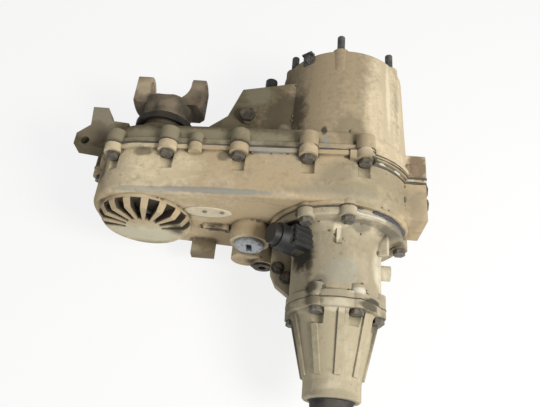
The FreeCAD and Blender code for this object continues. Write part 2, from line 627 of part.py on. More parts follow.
def make_rear_retainer():
    body = turned("retainer", [
        ("main_bearing_radius", "seat_end - spigot_depth"),
        ("spigot_radius - fit_gap", "seat_end - spigot_depth"),
        ("spigot_radius - fit_gap", "seat_end"), ("retainer_radius", "seat_end"),
        ("retainer_radius", "seat_end + retainer_flange - 2"),
        ("retainer_radius - 2", "seat_end + retainer_flange"),
        ("barrel_radius + 10", "seat_end + retainer_flange"),
        ("barrel_radius + 2", "seat_end + retainer_flange + 9"),
        ("barrel_radius", "seat_end + retainer_flange + 24"),
        ("barrel_radius", "tail_joint - tail_flange - 5"),
        ("tail_flange_radius - 4", "tail_joint - tail_flange"),
        ("tail_flange_radius", "tail_joint - tail_flange"), ("tail_flange_radius", "tail_joint"),
        ("barrel_bore", "tail_joint"), ("barrel_bore", f"{BEARING_END} + 6"),
        ("main_bearing_radius - 5", f"{BEARING_END} + 5"),
        ("main_bearing_radius - 5", BEARING_END),
        ("main_bearing_radius", BEARING_END),
    ])
    solids = [body]
    for x, z in retainer_lugs():
        solids.append(cylinder("lug_radius - 1", "retainer_flange + 2", x, "seat_end", z))
    for x, z in tail_lugs():
        solids.append(cylinder("lug_radius - 2", "tail_flange + 8", x,
                               "tail_joint - tail_flange - 8", z))
    for turn, reach in ((92, "22"), (140, "14"), (30, "14"), (215, "14"), (325, "14")):
        solids.append(spoke("barrel_radius - 3", f"retainer_radius - {reach}", "rib_thick + 1",
                            "seat_end + retainer_flange - 2", "26", turn))
    # side web from the flange to the barrel's end, and a stub on the other side
    web = new_body("side_web")
    plan = new_sketch(web, "web_plan", "XY_Plane", "-web_low")
    flange_back = "seat_end + retainer_flange - 2"
    corners = [
        ("-barrel_radius + 5", flange_back), ("-web_reach", flange_back),
        ("-web_reach", "web_end - 30"), ("-barrel_radius - 18", "web_end - 15"),
        ("-barrel_radius + 2", "web_end"), ("-barrel_radius + 5", "web_end"),
    ]
    draw_polygon(plan, [(across, minus(station)) for across, station in corners])
    plate = web.newObject("PartDesign::Pad", "web_pad")
    plate.Profile = plan
    bind(plate, Length="web_low - web_high")
    solids.append(web)
    solids.append(cylinder("side_stub_radius", "14", "barrel_radius - 3", "side_stub_station", "0",
                           "right"))
    x, z = polar("barrel_radius - 4", "sensor_turn")
    boss = DOC.addObject("Part::Cylinder", "sensor_boss")
    bind(boss, Radius="sensor_radius + 6", Height="16")
    tilt = Rotation(Vector(0, -1, 0), number("sensor_turn")) * TOWARD["right"]
    solids.append(place(boss, x, "sensor_station", z, tilt))
    tools = []
    x, z = polar("barrel_bore - 8", "sensor_turn")
    hole = DOC.addObject("Part::Cylinder", "sensor_hole")
    bind(hole, Radius="sensor_radius", Height="40")
    tools.append(place(hole, x, "sensor_station", z, tilt))
    tools.append(cylinder("tube_radius + running_gap", "60", "0", "seat_end - spigot_depth - 1",
                          "-tube_offset"))
    for across, station in (("-web_reach + 9", "web_end - 36"), ("-web_reach + 20", "web_end - 24")):
        tools.append(cylinder("web_hole", "web_low - web_high + 2", across, station,
                              "-web_low - 1", "up"))
    for x, z in retainer_lugs():
        tools.append(cylinder("bolt_radius", "retainer_flange + 4", x, "seat_end - 1", z))
        tools.append(cylinder("head_corner + spot_gap", "20", x, "seat_end + retainer_flange + 2", z))
    for x, z in tail_lugs():
        tools.append(cylinder("bolt_radius", "thread_depth + 1", x, "tail_joint - thread_depth", z))
    return node("rear_retainer", cut("rear_retainer_cut", fuse("retainer_casting", solids), tools))


def make_tail_housing():
    body = turned("tail", [
        ("tail_root_radius - tail_wall", "tail_joint"), ("tail_flange_radius", "tail_joint"),
        ("tail_flange_radius", "tail_joint + tail_flange"),
        ("tail_root_radius + 3", "tail_joint + tail_flange"),
        ("tail_root_radius", "tail_joint + tail_flange + 4"),
        ("tail_tip_radius + 1", "tail_end - tail_collar"),
        ("tail_tip_radius", "tail_end - tail_collar + 4"), ("tail_tip_radius", "tail_end - 1.5"),
        ("tail_tip_radius - 1.5", "tail_end"), ("tail_tip_radius - tail_wall", "tail_end"),
        ("tail_tip_radius - tail_wall", "tail_end - 42"),
        ("tail_tip_radius", "tail_end - 48"),
    ])
    solids = [body]
    for x, z in tail_lugs():
        solids.append(cylinder("lug_radius - 2", "tail_flange", x, "tail_joint", z))
    for step in range(10):
        solids.append(tapered_rib(f"(86 + {36 * step})"))
    tools = []
    for x, z in tail_lugs():
        tools.append(cylinder("bolt_radius", "tail_flange + 2", x, "tail_joint - 1", z))
        tools.append(cylinder("head_corner + spot_gap", "16", x, "tail_joint + tail_flange", z))
    return node("tail_housing", cut("tail_housing_cut", fuse("tail_casting", solids), tools))


def tapered_rib(turn):
    """A rib that follows the taper of the tail housing from its flange to its collar."""
    body = new_body("tail_rib")
    sketch = new_sketch(body, "tail_rib_side", "XY_Plane", "-tail_rib_width / 2")
    start, stop = "tail_joint + tail_flange - 1", "tail_end - tail_collar"
    draw_polygon(sketch, [
        ("tail_root_radius - 3", minus(start)), ("tail_root_radius + tail_rib_reach", minus(start)),
        ("tail_tip_radius + 1 + tail_rib_reach / 2", minus(stop)),
        ("tail_tip_radius - 2", minus(stop)),
    ])
    item = body.newObject("PartDesign::Pad", "tail_rib_pad")
    item.Profile = sketch
    bind(item, Length="tail_rib_width")
    body.Placement = Placement(Vector(), Rotation(Vector(0, -1, 0), number(turn)))
    return body


# ---------------------------------------------------------------- gears, sprockets and chain
def gear_points(teeth, module, phase, inward=False):
    """Corners of a spur gear with straight flanks; inward gives the space in a ring gear."""
    pitch = teeth * module / 2
    slack = 0.06 * module
    tip = pitch + (0.98 if inward else 0.8) * module
    root = pitch - (0.72 if inward else 1.1) * module
    base = pitch * math.cos(math.radians(20))

    def involute(radius):
        angle = math.acos(min(1, base / radius))
        return math.tan(angle) - angle

    def half(radius):
        width = math.pi / (2 * teeth) + involute(pitch) - involute(radius)
        return width + (slack if inward else -slack) / pitch

    points = []
    for tooth in range(teeth):
        middle = math.radians(phase) + 2 * math.pi * tooth / teeth
        for radius, side in ((root, -1), (tip, -1), (tip, 1), (root, 1)):
            turn = middle + side * half(radius)
            points.append((radius * math.cos(turn), radius * math.sin(turn)))
    return points


def sprocket_points():
    points = []
    teeth = int(number("sprocket_teeth"))
    for tooth in range(teeth):
        for share, radius in ((0.0, "sprocket_root"), (0.22, "sprocket_root"),
                              (0.46, "sprocket_tip"), (0.76, "sprocket_tip")):
            turn = 2 * math.pi * (tooth + share) / teeth
            points.append((number(radius) * math.cos(turn), number(radius) * math.sin(turn)))
    return points


PLANET_ORBIT = "gear_module * (sun_teeth + planet_teeth) / 2"


def make_input_gear():
    sun_root = "(gear_module * (sun_teeth / 2 - 1.1))"
    core = turned("input_core", [
        ("0", "gear_front - 2"), ("input_bore", "gear_front - 2"), ("input_bore", "2"),
        ("input_bore + 2", "1"), ("input_snout - running_gap", "1"),
        ("input_snout - running_gap", "bearing_seat"), ("input_journal", "bearing_seat"),
        ("input_journal", "gear_front - 9"), (sun_root, "gear_front - 7"),
        (sun_root, "gear_front + gear_width + 3"),
        ("clutch_radius + 5.5", "gear_front + gear_width + 3"),
        ("clutch_radius + 5.5", "gear_front + gear_width + 14"),
        ("clutch_radius", "gear_front + gear_width + 14"),
        ("clutch_radius", "gear_front + gear_width + 4.5"),
        ("pilot_radius + running_gap", "gear_front + gear_width + 4.5"),
        ("pilot_radius + running_gap", "gear_front + 6"), ("0", "gear_front + 6"),
    ])
    points = gear_points(int(number("sun_teeth")), number("gear_module"), 0)
    teeth = polygon_solid("sun_teeth_blank", points, number("gear_front"), number("gear_width"))
    hollow = cylinder(f"{sun_root} - 2", "gear_width + 2", "0", "gear_front - 1")
    return node("input_gear", fuse("input_gear_fuse", [core, cut("sun_ring", teeth, [hollow])]))


def planet_phase(turn):
    """Angle of one planet tooth when the sun has a tooth at 0 degrees.

    A space of the planet faces a tooth of the sun, and turns on by the share of a tooth
    by which that tooth of the sun is short of the line between the two centres.
    """
    step = 360 / number("planet_teeth")
    share = (turn / 360 * number("sun_teeth")) % 1
    return turn + 180 + step / 2 + share * step


def make_planets():
    for step in range(3):
        turn = 90 + 120 * step
        x, z = polar(PLANET_ORBIT, turn)
        planet = int(number("planet_teeth"))
        points = gear_points(planet, number("gear_module"), planet_phase(turn))
        points = [(px + number(x), pz + number(z)) for px, pz in points]
        blank = polygon_solid("planet_blank", points, number("gear_front"), number("gear_width"))
        hole = cylinder("planet_pin + running_gap", "gear_width + 2", x, "gear_front - 1", z)
        node(f"planet_gear_{step + 1}", cut("planet_gear", blank, [hole]))


def make_annulus():
    teeth = int(number("annulus_teeth"))
    # the first planet's tooth on its outward side decides where the ring has a space
    ahead = (planet_phase(90) - 90) % (360 / number("planet_teeth"))
    phase = 90 + ahead * number("planet_teeth") / teeth
    space = polygon_solid("annulus_space", gear_points(teeth, number("gear_module"), phase, True),
                          number("gear_front") - 1, number("gear_width") + 2)
    blank = cylinder("annulus_outer - fit_gap", "gear_width", "0", "gear_front")
    return node("annulus_gear", cut("annulus_cut", blank, [space]))


def make_carrier():
    rim = "gear_module * (annulus_teeth / 2 - 1.2)"
    front = ring("carrier_front", rim, "gear_module * (sun_teeth / 2 + 1.9)",
                 "gear_front - 1 - plate_thick", "plate_thick")
    rear_start = "(gear_front + gear_width + 1)"
    lock = f"({HUB_START} + range_travel)"
    rear = turned("carrier_rear", [
        ("clutch_radius + 7", rear_start), (rim, rear_start), (rim, f"{rear_start} + plate_thick"),
        ("clutch_radius + 11", f"{rear_start} + plate_thick"), ("clutch_radius + 11", f"{lock} + 9"),
        ("clutch_radius", f"{lock} + 9"), ("clutch_radius", lock), ("clutch_radius + 7", lock),
    ])
    posts = []
    pins = []
    holes = []
    for step in range(3):
        x, z = polar(f"({PLANET_ORBIT})", 150 + 120 * step)
        posts.append(cylinder("planet_pin", "gear_width + 2 * plate_thick", x,
                              "gear_front - plate_thick + 1", z))
        x, z = polar(f"({PLANET_ORBIT})", 90 + 120 * step)
        pins.append(cylinder("planet_pin", "gear_width + 2 * plate_thick + 2", x,
                             "gear_front - plate_thick - 1", z))
        holes.append(cylinder("planet_pin", "gear_width + 20", x, "gear_front - 10", z))
    frame = fuse("carrier_body", [front, rear] + posts)
    node("planet_carrier", cut("planet_carrier_cut", frame, holes))
    node("planet_pins", fuse("planet_pin_set", pins))


def make_sprockets():
    points = sprocket_points()
    for name, x, z in (("drive", "0", "0"), ("driven", OUTPUT_X, OUTPUT_Z)):
        shifted = [(px + number(x), pz + number(z)) for px, pz in points]
        blank = polygon_solid(name + "_teeth", shifted, number("sprocket_front"),
                              number("sprocket_width"))
        mouth = MODE_TEETH if name == "drive" else "sprocket_front - 5"
        hub = ring(name + "_hub", "clutch_radius + 6", "clutch_radius + 0.5", mouth,
                   "sprocket_front + 4 - (" + mouth + ")", x, z)
        tail = ring(name + "_tail", "journal_radius + 7", "journal_radius + running_gap",
                    "sprocket_front + sprocket_width - 4", "8", x, z)
        gap = "running_gap" if name == "drive" else "fit_gap"
        bore = cylinder(f"journal_radius + {gap}", "80", x, "sprocket_front - 20", z)
        node(name + "_sprocket", cut(name + "_sprocket_cut",
                                     fuse(name + "_sprocket_blank", [blank, hub, tail]), [bore]))


def make_chain():
    body = new_body("chain_loop")
    outer = new_sketch(body, "chain_outside", "XZ_Plane", "sprocket_front + 1")
    draw_outline(outer, "sprocket_tip", "sprocket_tip", "-(chain_gap + chain_thick)")
    pad(body, outer, "sprocket_width - 2")
    inner = new_sketch(body, "chain_inside", "XZ_Plane", "sprocket_front")
    draw_outline(inner, "sprocket_tip", "sprocket_tip", "-chain_gap")
    pocket(body, inner, "sprocket_width + 2")
    return node("drive_chain", body)


# ---------------------------------------------------------------- shafts
def make_main_shaft():
    shaft = turned("main_shaft_core", [
        ("0", "gear_front + 8"), ("pilot_radius - 1", "gear_front + 8"),
        ("pilot_radius", "gear_front + 9"), ("pilot_radius", "sprocket_front - 2.5"),
        ("journal_radius", "sprocket_front - 1.5"), ("journal_radius", BEARING_END),
        ("rear_journal", f"{BEARING_END} + 2"), ("rear_journal", "pump_front + pump_width + 18"),
        ("spline_root", "pump_front + pump_width + 22"), ("spline_root", "spline_end - 2"),
        ("spline_root - 2", "spline_end"), ("0", "spline_end"),
    ])
    splines = [shaft]
    count = int(number("spline_teeth")) // 3
    for step in range(count):
        splines.append(spoke("spline_root - 1", "spline_tip", "2.6", "pump_front + pump_width + 30",
                             "spline_end - pump_front - pump_width - 32", 360 / count * step))
    node("main_shaft", fuse("main_shaft_fuse", splines))
    wheel = ring("tone_wheel_blank", "rear_journal + 12", "rear_journal", "sensor_station - 3", "6")
    notches = []
    for step in range(12):
        notches.append(spoke("rear_journal + 9", "rear_journal + 13", "4", "sensor_station - 4",
                             "8", 30 * step + 8))
    node("tone_wheel", cut("tone_wheel_cut", wheel, notches))
    node("pump_rotor", ring("pump_rotor_ring", "rotor_radius", "rear_journal",
                            "pump_front + pump_wall + fork_side_gap",
                            "pump_width - 2 * pump_wall - 2 * fork_side_gap"))


def make_front_output():
    node("front_output_shaft", turned("front_output_core", [
        ("0", "yoke_base + 4"), ("nut_thread", "yoke_base + 4"), ("nut_thread", "yoke_base + 16"),
        ("yoke_spline", "yoke_base + 16"), ("yoke_spline", "boss_front - 2"),
        ("front_journal", "boss_front - 1"),
        ("front_journal", "sprocket_front - 8"), ("journal_radius + 4", "sprocket_front - 8"),
        ("journal_radius + 4", "sprocket_front - 5.5"), ("journal_radius", "sprocket_front - 5.5"),
        ("journal_radius", "sprocket_front + sprocket_width + 6"),
        ("rear_stub", "sprocket_front + sprocket_width + 8"),
        ("rear_stub", "box_rear - casting_wall + rear_bearing_width - 1"),
        ("0", "box_rear - casting_wall + rear_bearing_width - 1"),
    ], OUTPUT_X, OUTPUT_Z))
    node("front_yoke", make_yoke())
    node("slinger_ring", turned("slinger_turned", [
        ("yoke_hub_radius", "slinger_front"), ("slinger_radius - 4", "slinger_front"),
        ("slinger_radius", "slinger_front + 4"),
        ("slinger_radius", "slinger_front + slinger_thick + slinger_rim"),
        ("slinger_radius - 3", "slinger_front + slinger_thick + slinger_rim"),
        ("slinger_radius - 3", "slinger_front + slinger_thick"),
        ("yoke_hub_radius", "slinger_front + slinger_thick"),
    ], OUTPUT_X, OUTPUT_Z))
    nut = hexagon("nut_corner", "nut_height", OUTPUT_X, "yoke_base + 6", OUTPUT_Z)
    hole = cylinder("nut_thread + fit_gap", "2 * nut_height", OUTPUT_X, "yoke_base", OUTPUT_Z)
    node("yoke_nut", cut("yoke_nut_cut", nut, [hole]))


def make_yoke():
    """Half of a cross joint: two ears, the round saddle between them and the splined hub."""
    inner = "yoke_half_span - ear_thick"
    envelope = turned("yoke_envelope", [
        ("0", "cap_station - 24"), ("yoke_half_span - 4", "cap_station - 24"),
        ("yoke_half_span + 3", "cap_station - 12"), ("yoke_half_span + 3", "yoke_base"),
        ("yoke_half_span - 2", "yoke_base + 5"), ("yoke_hub_radius + 3", "yoke_base + 9"),
        ("yoke_hub_radius", "yoke_base + 16"), ("yoke_hub_radius", "boss_front - 3"),
        ("0", "boss_front - 3"),
    ], OUTPUT_X, OUTPUT_Z)
    left, right = f"{OUTPUT_X} - yoke_half_span", f"{OUTPUT_X} + {inner}"
    low, high = f"{OUTPUT_Z} - ear_width / 2", f"{OUTPUT_Z} + ear_width / 2"
    forms = [
        block((left, "cap_station", low), (f"{OUTPUT_X} + yoke_half_span", "yoke_base + 5", high)),
        cylinder("ear_width / 2", "ear_thick", left, "cap_station", OUTPUT_Z, "right"),
        cylinder("ear_width / 2", "ear_thick", right, "cap_station", OUTPUT_Z, "right"),
        cylinder("yoke_hub_radius + 3", "boss_front", OUTPUT_X, "yoke_base - 2", OUTPUT_Z),
    ]
    raw = DOC.addObject("Part::MultiCommon", "yoke_forging")
    raw.Shapes = [envelope, fuse("yoke_forms", forms)]
    tools = [
        cylinder("cap_radius", "4 * yoke_half_span", f"{OUTPUT_X} - 2 * yoke_half_span",
                 "cap_station", OUTPUT_Z, "right"),
        cylinder("yoke_spline + fit_gap", "boss_front - yoke_base", OUTPUT_X, "yoke_base - 2",
                 OUTPUT_Z),
        cylinder("nut_room", "17", OUTPUT_X, "yoke_base - 1", OUTPUT_Z),
        cylinder(inner, "2 * ear_width", OUTPUT_X, "cap_station", f"{OUTPUT_Z} - ear_width", "up"),
    ]
    return cut("front_yoke_cut", raw, tools)


# ---------------------------------------------------------------- bearings and seals
def bearing(name, outer, inner, start, width, x="0", z="0"):
    """A shielded bearing: outer race, inner race and the shields between them."""
    races = [
        ring(name + "_outer_race", f"{outer} - fit_gap", f"{outer} - race_thick", start, width,
             x, z),
        ring(name + "_inner_race", f"{inner} + race_thick", f"{inner} + running_gap", start, width,
             x, z),
        ring(name + "_shields", f"{outer} - race_thick - running_gap",
             f"{inner} + race_thick + running_gap", f"{start} + 1", f"{width} - 2", x, z),
    ]
    group = DOC.addObject("Part::Compound", name + "_group")
    group.Links = races
    return node(name, group)


def make_bearings():
    bearing("input_bearing", "input_bearing_radius", "input_journal", "bearing_seat",
            "bearing_width")
    bearing("main_rear_bearing", "main_bearing_radius", "journal_radius", BEARING_START,
            "bearing_width")
    bearing("front_output_bearing", "front_bearing_radius", "front_journal",
            "boss_front + bearing_seat", "bearing_width", OUTPUT_X, OUTPUT_Z)
    bearing("front_output_rear_bearing", "rear_bearing_radius", "rear_stub",
            "box_rear - casting_wall", "rear_bearing_width - 1", OUTPUT_X, OUTPUT_Z)
    node("input_seal", ring("input_seal_ring", "input_snout + seal_lip - fit_gap", "input_snout",
                            "3", "9"))
    node("front_output_seal", ring("front_seal_ring", "front_journal + seal_lip - fit_gap",
                                   "front_journal + running_gap", "boss_front + 1", "10",
                                   OUTPUT_X, OUTPUT_Z))
    node("tail_bushing", ring("tail_bushing_ring", "tail_tip_radius - tail_wall - fit_gap",
                              "spline_tip + 3", "tail_end - 38", "20"))
    seat = "tail_tip_radius - tail_wall - fit_gap"
    node("tail_seal", turned("tail_seal_ring", [
        ("spline_tip + 3.5", "tail_end - 12"), (seat, "tail_end - 12"), (seat, "tail_end"),
        ("spline_tip + 7.5", "tail_end + 1"),
        ("spline_tip + 6.5", "tail_end + 12"), ("spline_tip + 3.5", "tail_end + 12"),
    ]))
    snap = ring("snap_front", "input_bearing_radius - fit_gap", "input_bearing_radius - 4",
                "bearing_seat + bearing_width", "ring_groove")
    node("input_snap_ring", snap)
    node("main_snap_ring", ring("snap_rear", "main_bearing_radius - fit_gap",
                                "main_bearing_radius - 4",
                                f"{BEARING_START} - ring_groove", "ring_groove"))


# ---------------------------------------------------------------- clutch hubs, forks, shift parts
HUB_START = "(gear_front + gear_width + 5)"


def grooved_hub(name, teeth_start, teeth_width, groove, bore):
    """A sliding hub: a toothed band at one end and a fork groove at the other."""
    front = f"{groove} - 4"
    rear = f"{groove} + 10"
    if number(teeth_start) < number(groove):
        corners = [
            (bore, teeth_start), ("hub_teeth", teeth_start),
            ("hub_teeth", f"{teeth_start} + {teeth_width}"),
            ("groove_radius", f"{teeth_start} + {teeth_width} + 1"), ("groove_radius", front),
            ("flange_radius", front), ("flange_radius", groove), ("groove_radius", groove),
            ("groove_radius", f"{groove} + 6"), ("flange_radius", f"{groove} + 6"),
            ("flange_radius", rear), (bore, rear),
        ]
    else:
        corners = [
            (bore, front), ("flange_radius", front), ("flange_radius", groove),
            ("groove_radius", groove), ("groove_radius", f"{groove} + 4"),
            ("flange_radius", f"{groove} + 4"), ("flange_radius", f"{groove} + 6"),
            ("hub_teeth", f"{groove} + 6"), ("hub_teeth", f"{teeth_start} + {teeth_width}"),
            (bore, f"{teeth_start} + {teeth_width}"),
        ]
    return node(name, turned(name + "_turned", corners))


RANGE_GROOVE = f"({HUB_START} + 41)"
MODE_GROOVE = "(sprocket_front - 22)"
MODE_TEETH = "(sprocket_front - 2 - mode_travel)"


def fork(name, groove, width, hub_start, hub_length):
    """A shift fork: a half ring in the hub's groove, an arm, and an eye on the rail."""
    inner = "groove_radius + 0.5"
    half = ring(name + "_half", "fork_outer", inner, f"{groove} + fork_side_gap",
                f"{width} - 2 * fork_side_gap")
    keep = block(("-fork_outer - 1", f"{groove} - 2", "-fork_outer - 1"),
                 ("0", f"{groove} + {width} + 2", "fork_outer + 1"))
    claw = DOC.addObject("Part::MultiCommon", name + "_claw")
    claw.Shapes = [half, keep]
    arm = block(("-rail_offset", f"{groove} + fork_side_gap", "-9"),
                (f"-({inner}) - 8", f"{groove} + {width} - fork_side_gap", "9"))
    eye = cylinder("fork_hub", hub_length, "-rail_offset", hub_start, "0")
    hole = cylinder("rail_radius + running_gap", "80", "-rail_offset", f"{groove} - 40", "0")
    return node(name, cut(name + "_cut", fuse(name + "_blank", [claw, arm, eye]), [hole]))


def make_shift_parts():
    grooved_hub("range_hub", HUB_START, "8", RANGE_GROOVE, "pilot_radius + hub_bore_gap")
    grooved_hub("mode_hub", MODE_TEETH, "8", MODE_GROOVE, "pilot_radius + hub_bore_gap")
    node("shift_rail", cylinder("rail_radius", "sprocket_front - 6 - housing_front - 3",
                                "-rail_offset", "housing_front + 3", "0"))
    fork("range_fork", RANGE_GROOVE, "6", f"{RANGE_GROOVE} - 6", "12")
    fork("mode_fork", MODE_GROOVE, "4", f"{MODE_GROOVE} - 3", "13")
    node("shift_shaft", cylinder("shift_radius", "-sector_offset - lever_face", "lever_face",
                                 "shift_station", "shift_rise", "right"))
    plate = cylinder("sector_radius", "sector_thick", "sector_face", "shift_station",
                     "shift_rise", "right")
    wedge = block(("sector_face - 1", "shift_station - 22", "shift_rise - 4"),
                  ("-sector_offset + 1", "shift_station + 22", "shift_rise + sector_radius + 1"))
    eye = cylinder("shift_radius + 6", "sector_thick", "sector_face", "shift_station",
                   "shift_rise", "right")
    sector = DOC.addObject("Part::MultiCommon", "sector_wedge")
    sector.Shapes = [plate, wedge]
    through = "sector_thick + 2"
    bore = cylinder("shift_radius", through, "sector_face - 1", "shift_station", "shift_rise",
                    "right")
    notches = [bore]
    for turn in (70, 90, 110):
        y = f"shift_station - (sector_radius + 1.5) * cos({turn})"
        z = f"shift_rise + (sector_radius + 1.5) * sin({turn})"
        notches.append(cylinder("4", through, "sector_face - 1", y, z, "right"))
    node("shift_sector", cut("sector_cut", fuse("sector_blank", [sector, eye]), notches))
    node("shift_seal", cut("shift_seal_cut",
                           cylinder("shift_radius + 4 - fit_gap", "4", "-housing_left",
                                    "shift_station", "shift_rise", "right"),
                           [cylinder("shift_radius + running_gap", "8", "-housing_left - 2",
                                     "shift_station", "shift_rise", "right")]))
    # external lever, on the outer end of the shift shaft
    arm_body = new_body("lever_arm")
    sketch = new_sketch(arm_body, "lever_side", "YZ_Plane", "lever_face")
    draw_lever(sketch)
    arm = arm_body.newObject("PartDesign::Pad", "lever_pad")
    arm.Profile = sketch
    bind(arm, Length="lever_thick")
    y = "shift_station - lever_reach * cos(lever_turn)"
    z = "shift_rise + lever_reach * sin(lever_turn)"
    tools = [cylinder("lever_hole", "lever_thick + 2", "lever_face - 1", y, z, "right"),
             cylinder("shift_radius", "lever_thick + 2", "lever_face - 1", "shift_station",
                      "shift_rise", "right")]
    node("shift_lever", cut("shift_lever_cut", arm_body, tools))
    # detent: plunger and spring under a plug in the housing's roof
    tip = "shift_rise + sector_radius + 0.3"
    top = f"{tip} + plunger_length"
    node("detent_plunger", fuse("plunger", [
        cylinder("detent_radius", "plunger_length - 3", DETENT_X, "shift_station",
                 f"{tip} + 3", "up"),
        cone("1.5", "detent_radius", "3", DETENT_X, "shift_station", tip, "up")]))
    spring = DOC.addObject("Part::Feature", "detent_coil")
    spring.Shape = coil(number("detent_radius") - 1.1, 0.55, number("spring_length"), 4)
    node("detent_spring", place(spring, DETENT_X, "shift_station", top))
    plug_low = f"{top} + spring_length"
    node("detent_plug", fuse("detent_plug_set", [
        cylinder("detent_plug - 2", f"housing_top + 6 - ({plug_low})", DETENT_X, "shift_station",
                 plug_low, "up"),
        hexagon("detent_plug + 3", "6", DETENT_X, "shift_station", "housing_top + 6", "up")]))


def coil(radius, wire, length, turns):
    """A compression spring of square wire that stands on the XY plane, in flat facets."""
    steps = 12 * turns
    climb = (length - 2 * wire) / steps

    def section(step):
        turn = 2 * math.pi * step / 12
        corners = []
        for out, up in ((-wire, -wire), (wire, -wire), (wire, wire), (-wire, wire)):
            reach = radius + out
            corners.append(Vector(reach * math.cos(turn), reach * math.sin(turn),
                                  wire + climb * step + up))
        return corners

    def facet(*corners):
        return Part.Face(Part.makePolygon(list(corners) + [corners[0]]))

    rows = [section(step) for step in range(steps + 1)]
    faces = [facet(*rows[0]), facet(*rows[-1])]
    for near, far in zip(rows, rows[1:]):
        for side in range(4):
            nxt = (side + 1) % 4
            faces.append(facet(near[side], near[nxt], far[nxt]))
            faces.append(facet(near[side], far[nxt], far[side]))
    return Part.makeSolid(Part.makeShell(faces))


def draw_lever(sketch):
    """Lever outline: a big round end on the shaft and a small one at the cable hole."""
    big, small = number("shift_radius + 7"), number("lever_width / 2")
    home = Vector(-number("shift_station"), number("shift_rise"), 0)
    reach = number("lever_reach")
    tip = Vector(-number("shift_station - lever_reach * cos(lever_turn)"),
                 number("shift_rise + lever_reach * sin(lever_turn)"), 0)
    heading = math.atan2(tip.y - home.y, tip.x - home.x)
    spread = math.acos((big - small) / reach)
    axis = Vector(0, 0, 1)

    def touch(centre, radius, angle):
        return centre + Vector(radius * math.cos(angle), radius * math.sin(angle), 0)

    high, low = heading + spread, heading - spread
    pieces = [
        Part.ArcOfCircle(Part.Circle(home, axis, big), high, low + 2 * math.pi),
        Part.LineSegment(touch(home, big, low), touch(tip, small, low)),
        Part.ArcOfCircle(Part.Circle(tip, axis, small), low, high),
        Part.LineSegment(touch(tip, small, high), touch(home, big, high)),
    ]
    one, two, three, four = [sketch.addGeometry(piece, False) for piece in pieces]
    for first, second in ((one, two), (two, three), (three, four), (four, one)):
        sketch.addConstraint(Sketcher.Constraint("Tangent", first, 2, second, 1))
    pin_point(sketch, one, 3, "-shift_station", "shift_rise")
    pin_point(sketch, three, 3, "-(shift_station - lever_reach * cos(lever_turn))",
              "shift_rise + lever_reach * sin(lever_turn)")
    rule(sketch, "Radius", one, text="shift_radius + 7")
    rule(sketch, "Radius", three, text="lever_width / 2")


# ---------------------------------------------------------------- oil system
def make_oil_parts():
    start, stop = "pump_front", "pump_front + pump_width"
    body = turned("pump_body", [
        ("rear_journal + 1", start), ("barrel_bore - fit_gap", start),
        ("barrel_bore - fit_gap", stop), ("rear_journal + 1", stop),
        ("rear_journal + 1", f"{stop} - pump_wall"), ("rotor_radius + 0.2", f"{stop} - pump_wall"),
        ("rotor_radius + 0.2", f"{start} + pump_wall"), ("rear_journal + 1", f"{start} + pump_wall"),
    ])
    port = cylinder("tube_radius", "4", "0", "pump_front - 1", "-tube_offset")
    node("oil_pump", cut("oil_pump_cut", body, [port]))
    route = [("0", "pump_front + 2", "-tube_offset"), ("0", "tube_station", "-tube_offset"),
             ("-sump_offset + 0.6", "tube_station", "-sump_drop")]
    corners = [Vector(number(x), -number(station), number(z)) for x, station, z in route]
    tube = DOC.addObject("Part::Feature", "pickup_tube_sweep")
    tube.Shape = bent_tube(corners, number("tube_bend"), number("tube_radius"))
    node("pickup_tube", tube)
    half = "screen_depth / 2"
    node("oil_screen", block(
        ("-sump_offset - screen_length", f"tube_station - {half}", "-sump_drop - screen_width / 2"),
        ("-sump_offset", f"tube_station + {half}", "-sump_drop + screen_width / 2")))
    node("magnet", cylinder("magnet_radius", "magnet_thick", "-magnet_offset",
                            "box_rear - casting_wall - magnet_thick",
                            "-(sump_drop + magnet_room)"))


def bent_tube(corners, bend, radius):
    """A round tube along two straight runs joined by one tangent arc."""
    start, corner, stop = corners
    to_start = (start - corner).normalize()
    to_stop = (stop - corner).normalize()
    half_turn = (math.pi - to_start.getAngle(to_stop)) / 2
    inset = bend * math.tan(half_turn)
    first = corner + to_start * inset
    last = corner + to_stop * inset
    middle_way = (to_start + to_stop).normalize()
    centre = corner + middle_way * (bend / math.cos(half_turn))
    middle = centre - middle_way * bend
    path = Part.Wire([Part.LineSegment(start, first).toShape(),
                      Part.Arc(first, middle, last).toShape(),
                      Part.LineSegment(last, stop).toShape()])
    mouth = Part.Wire([Part.Circle(start, to_start, radius).toShape()])
    return path.makePipeShell([mouth], True, False)


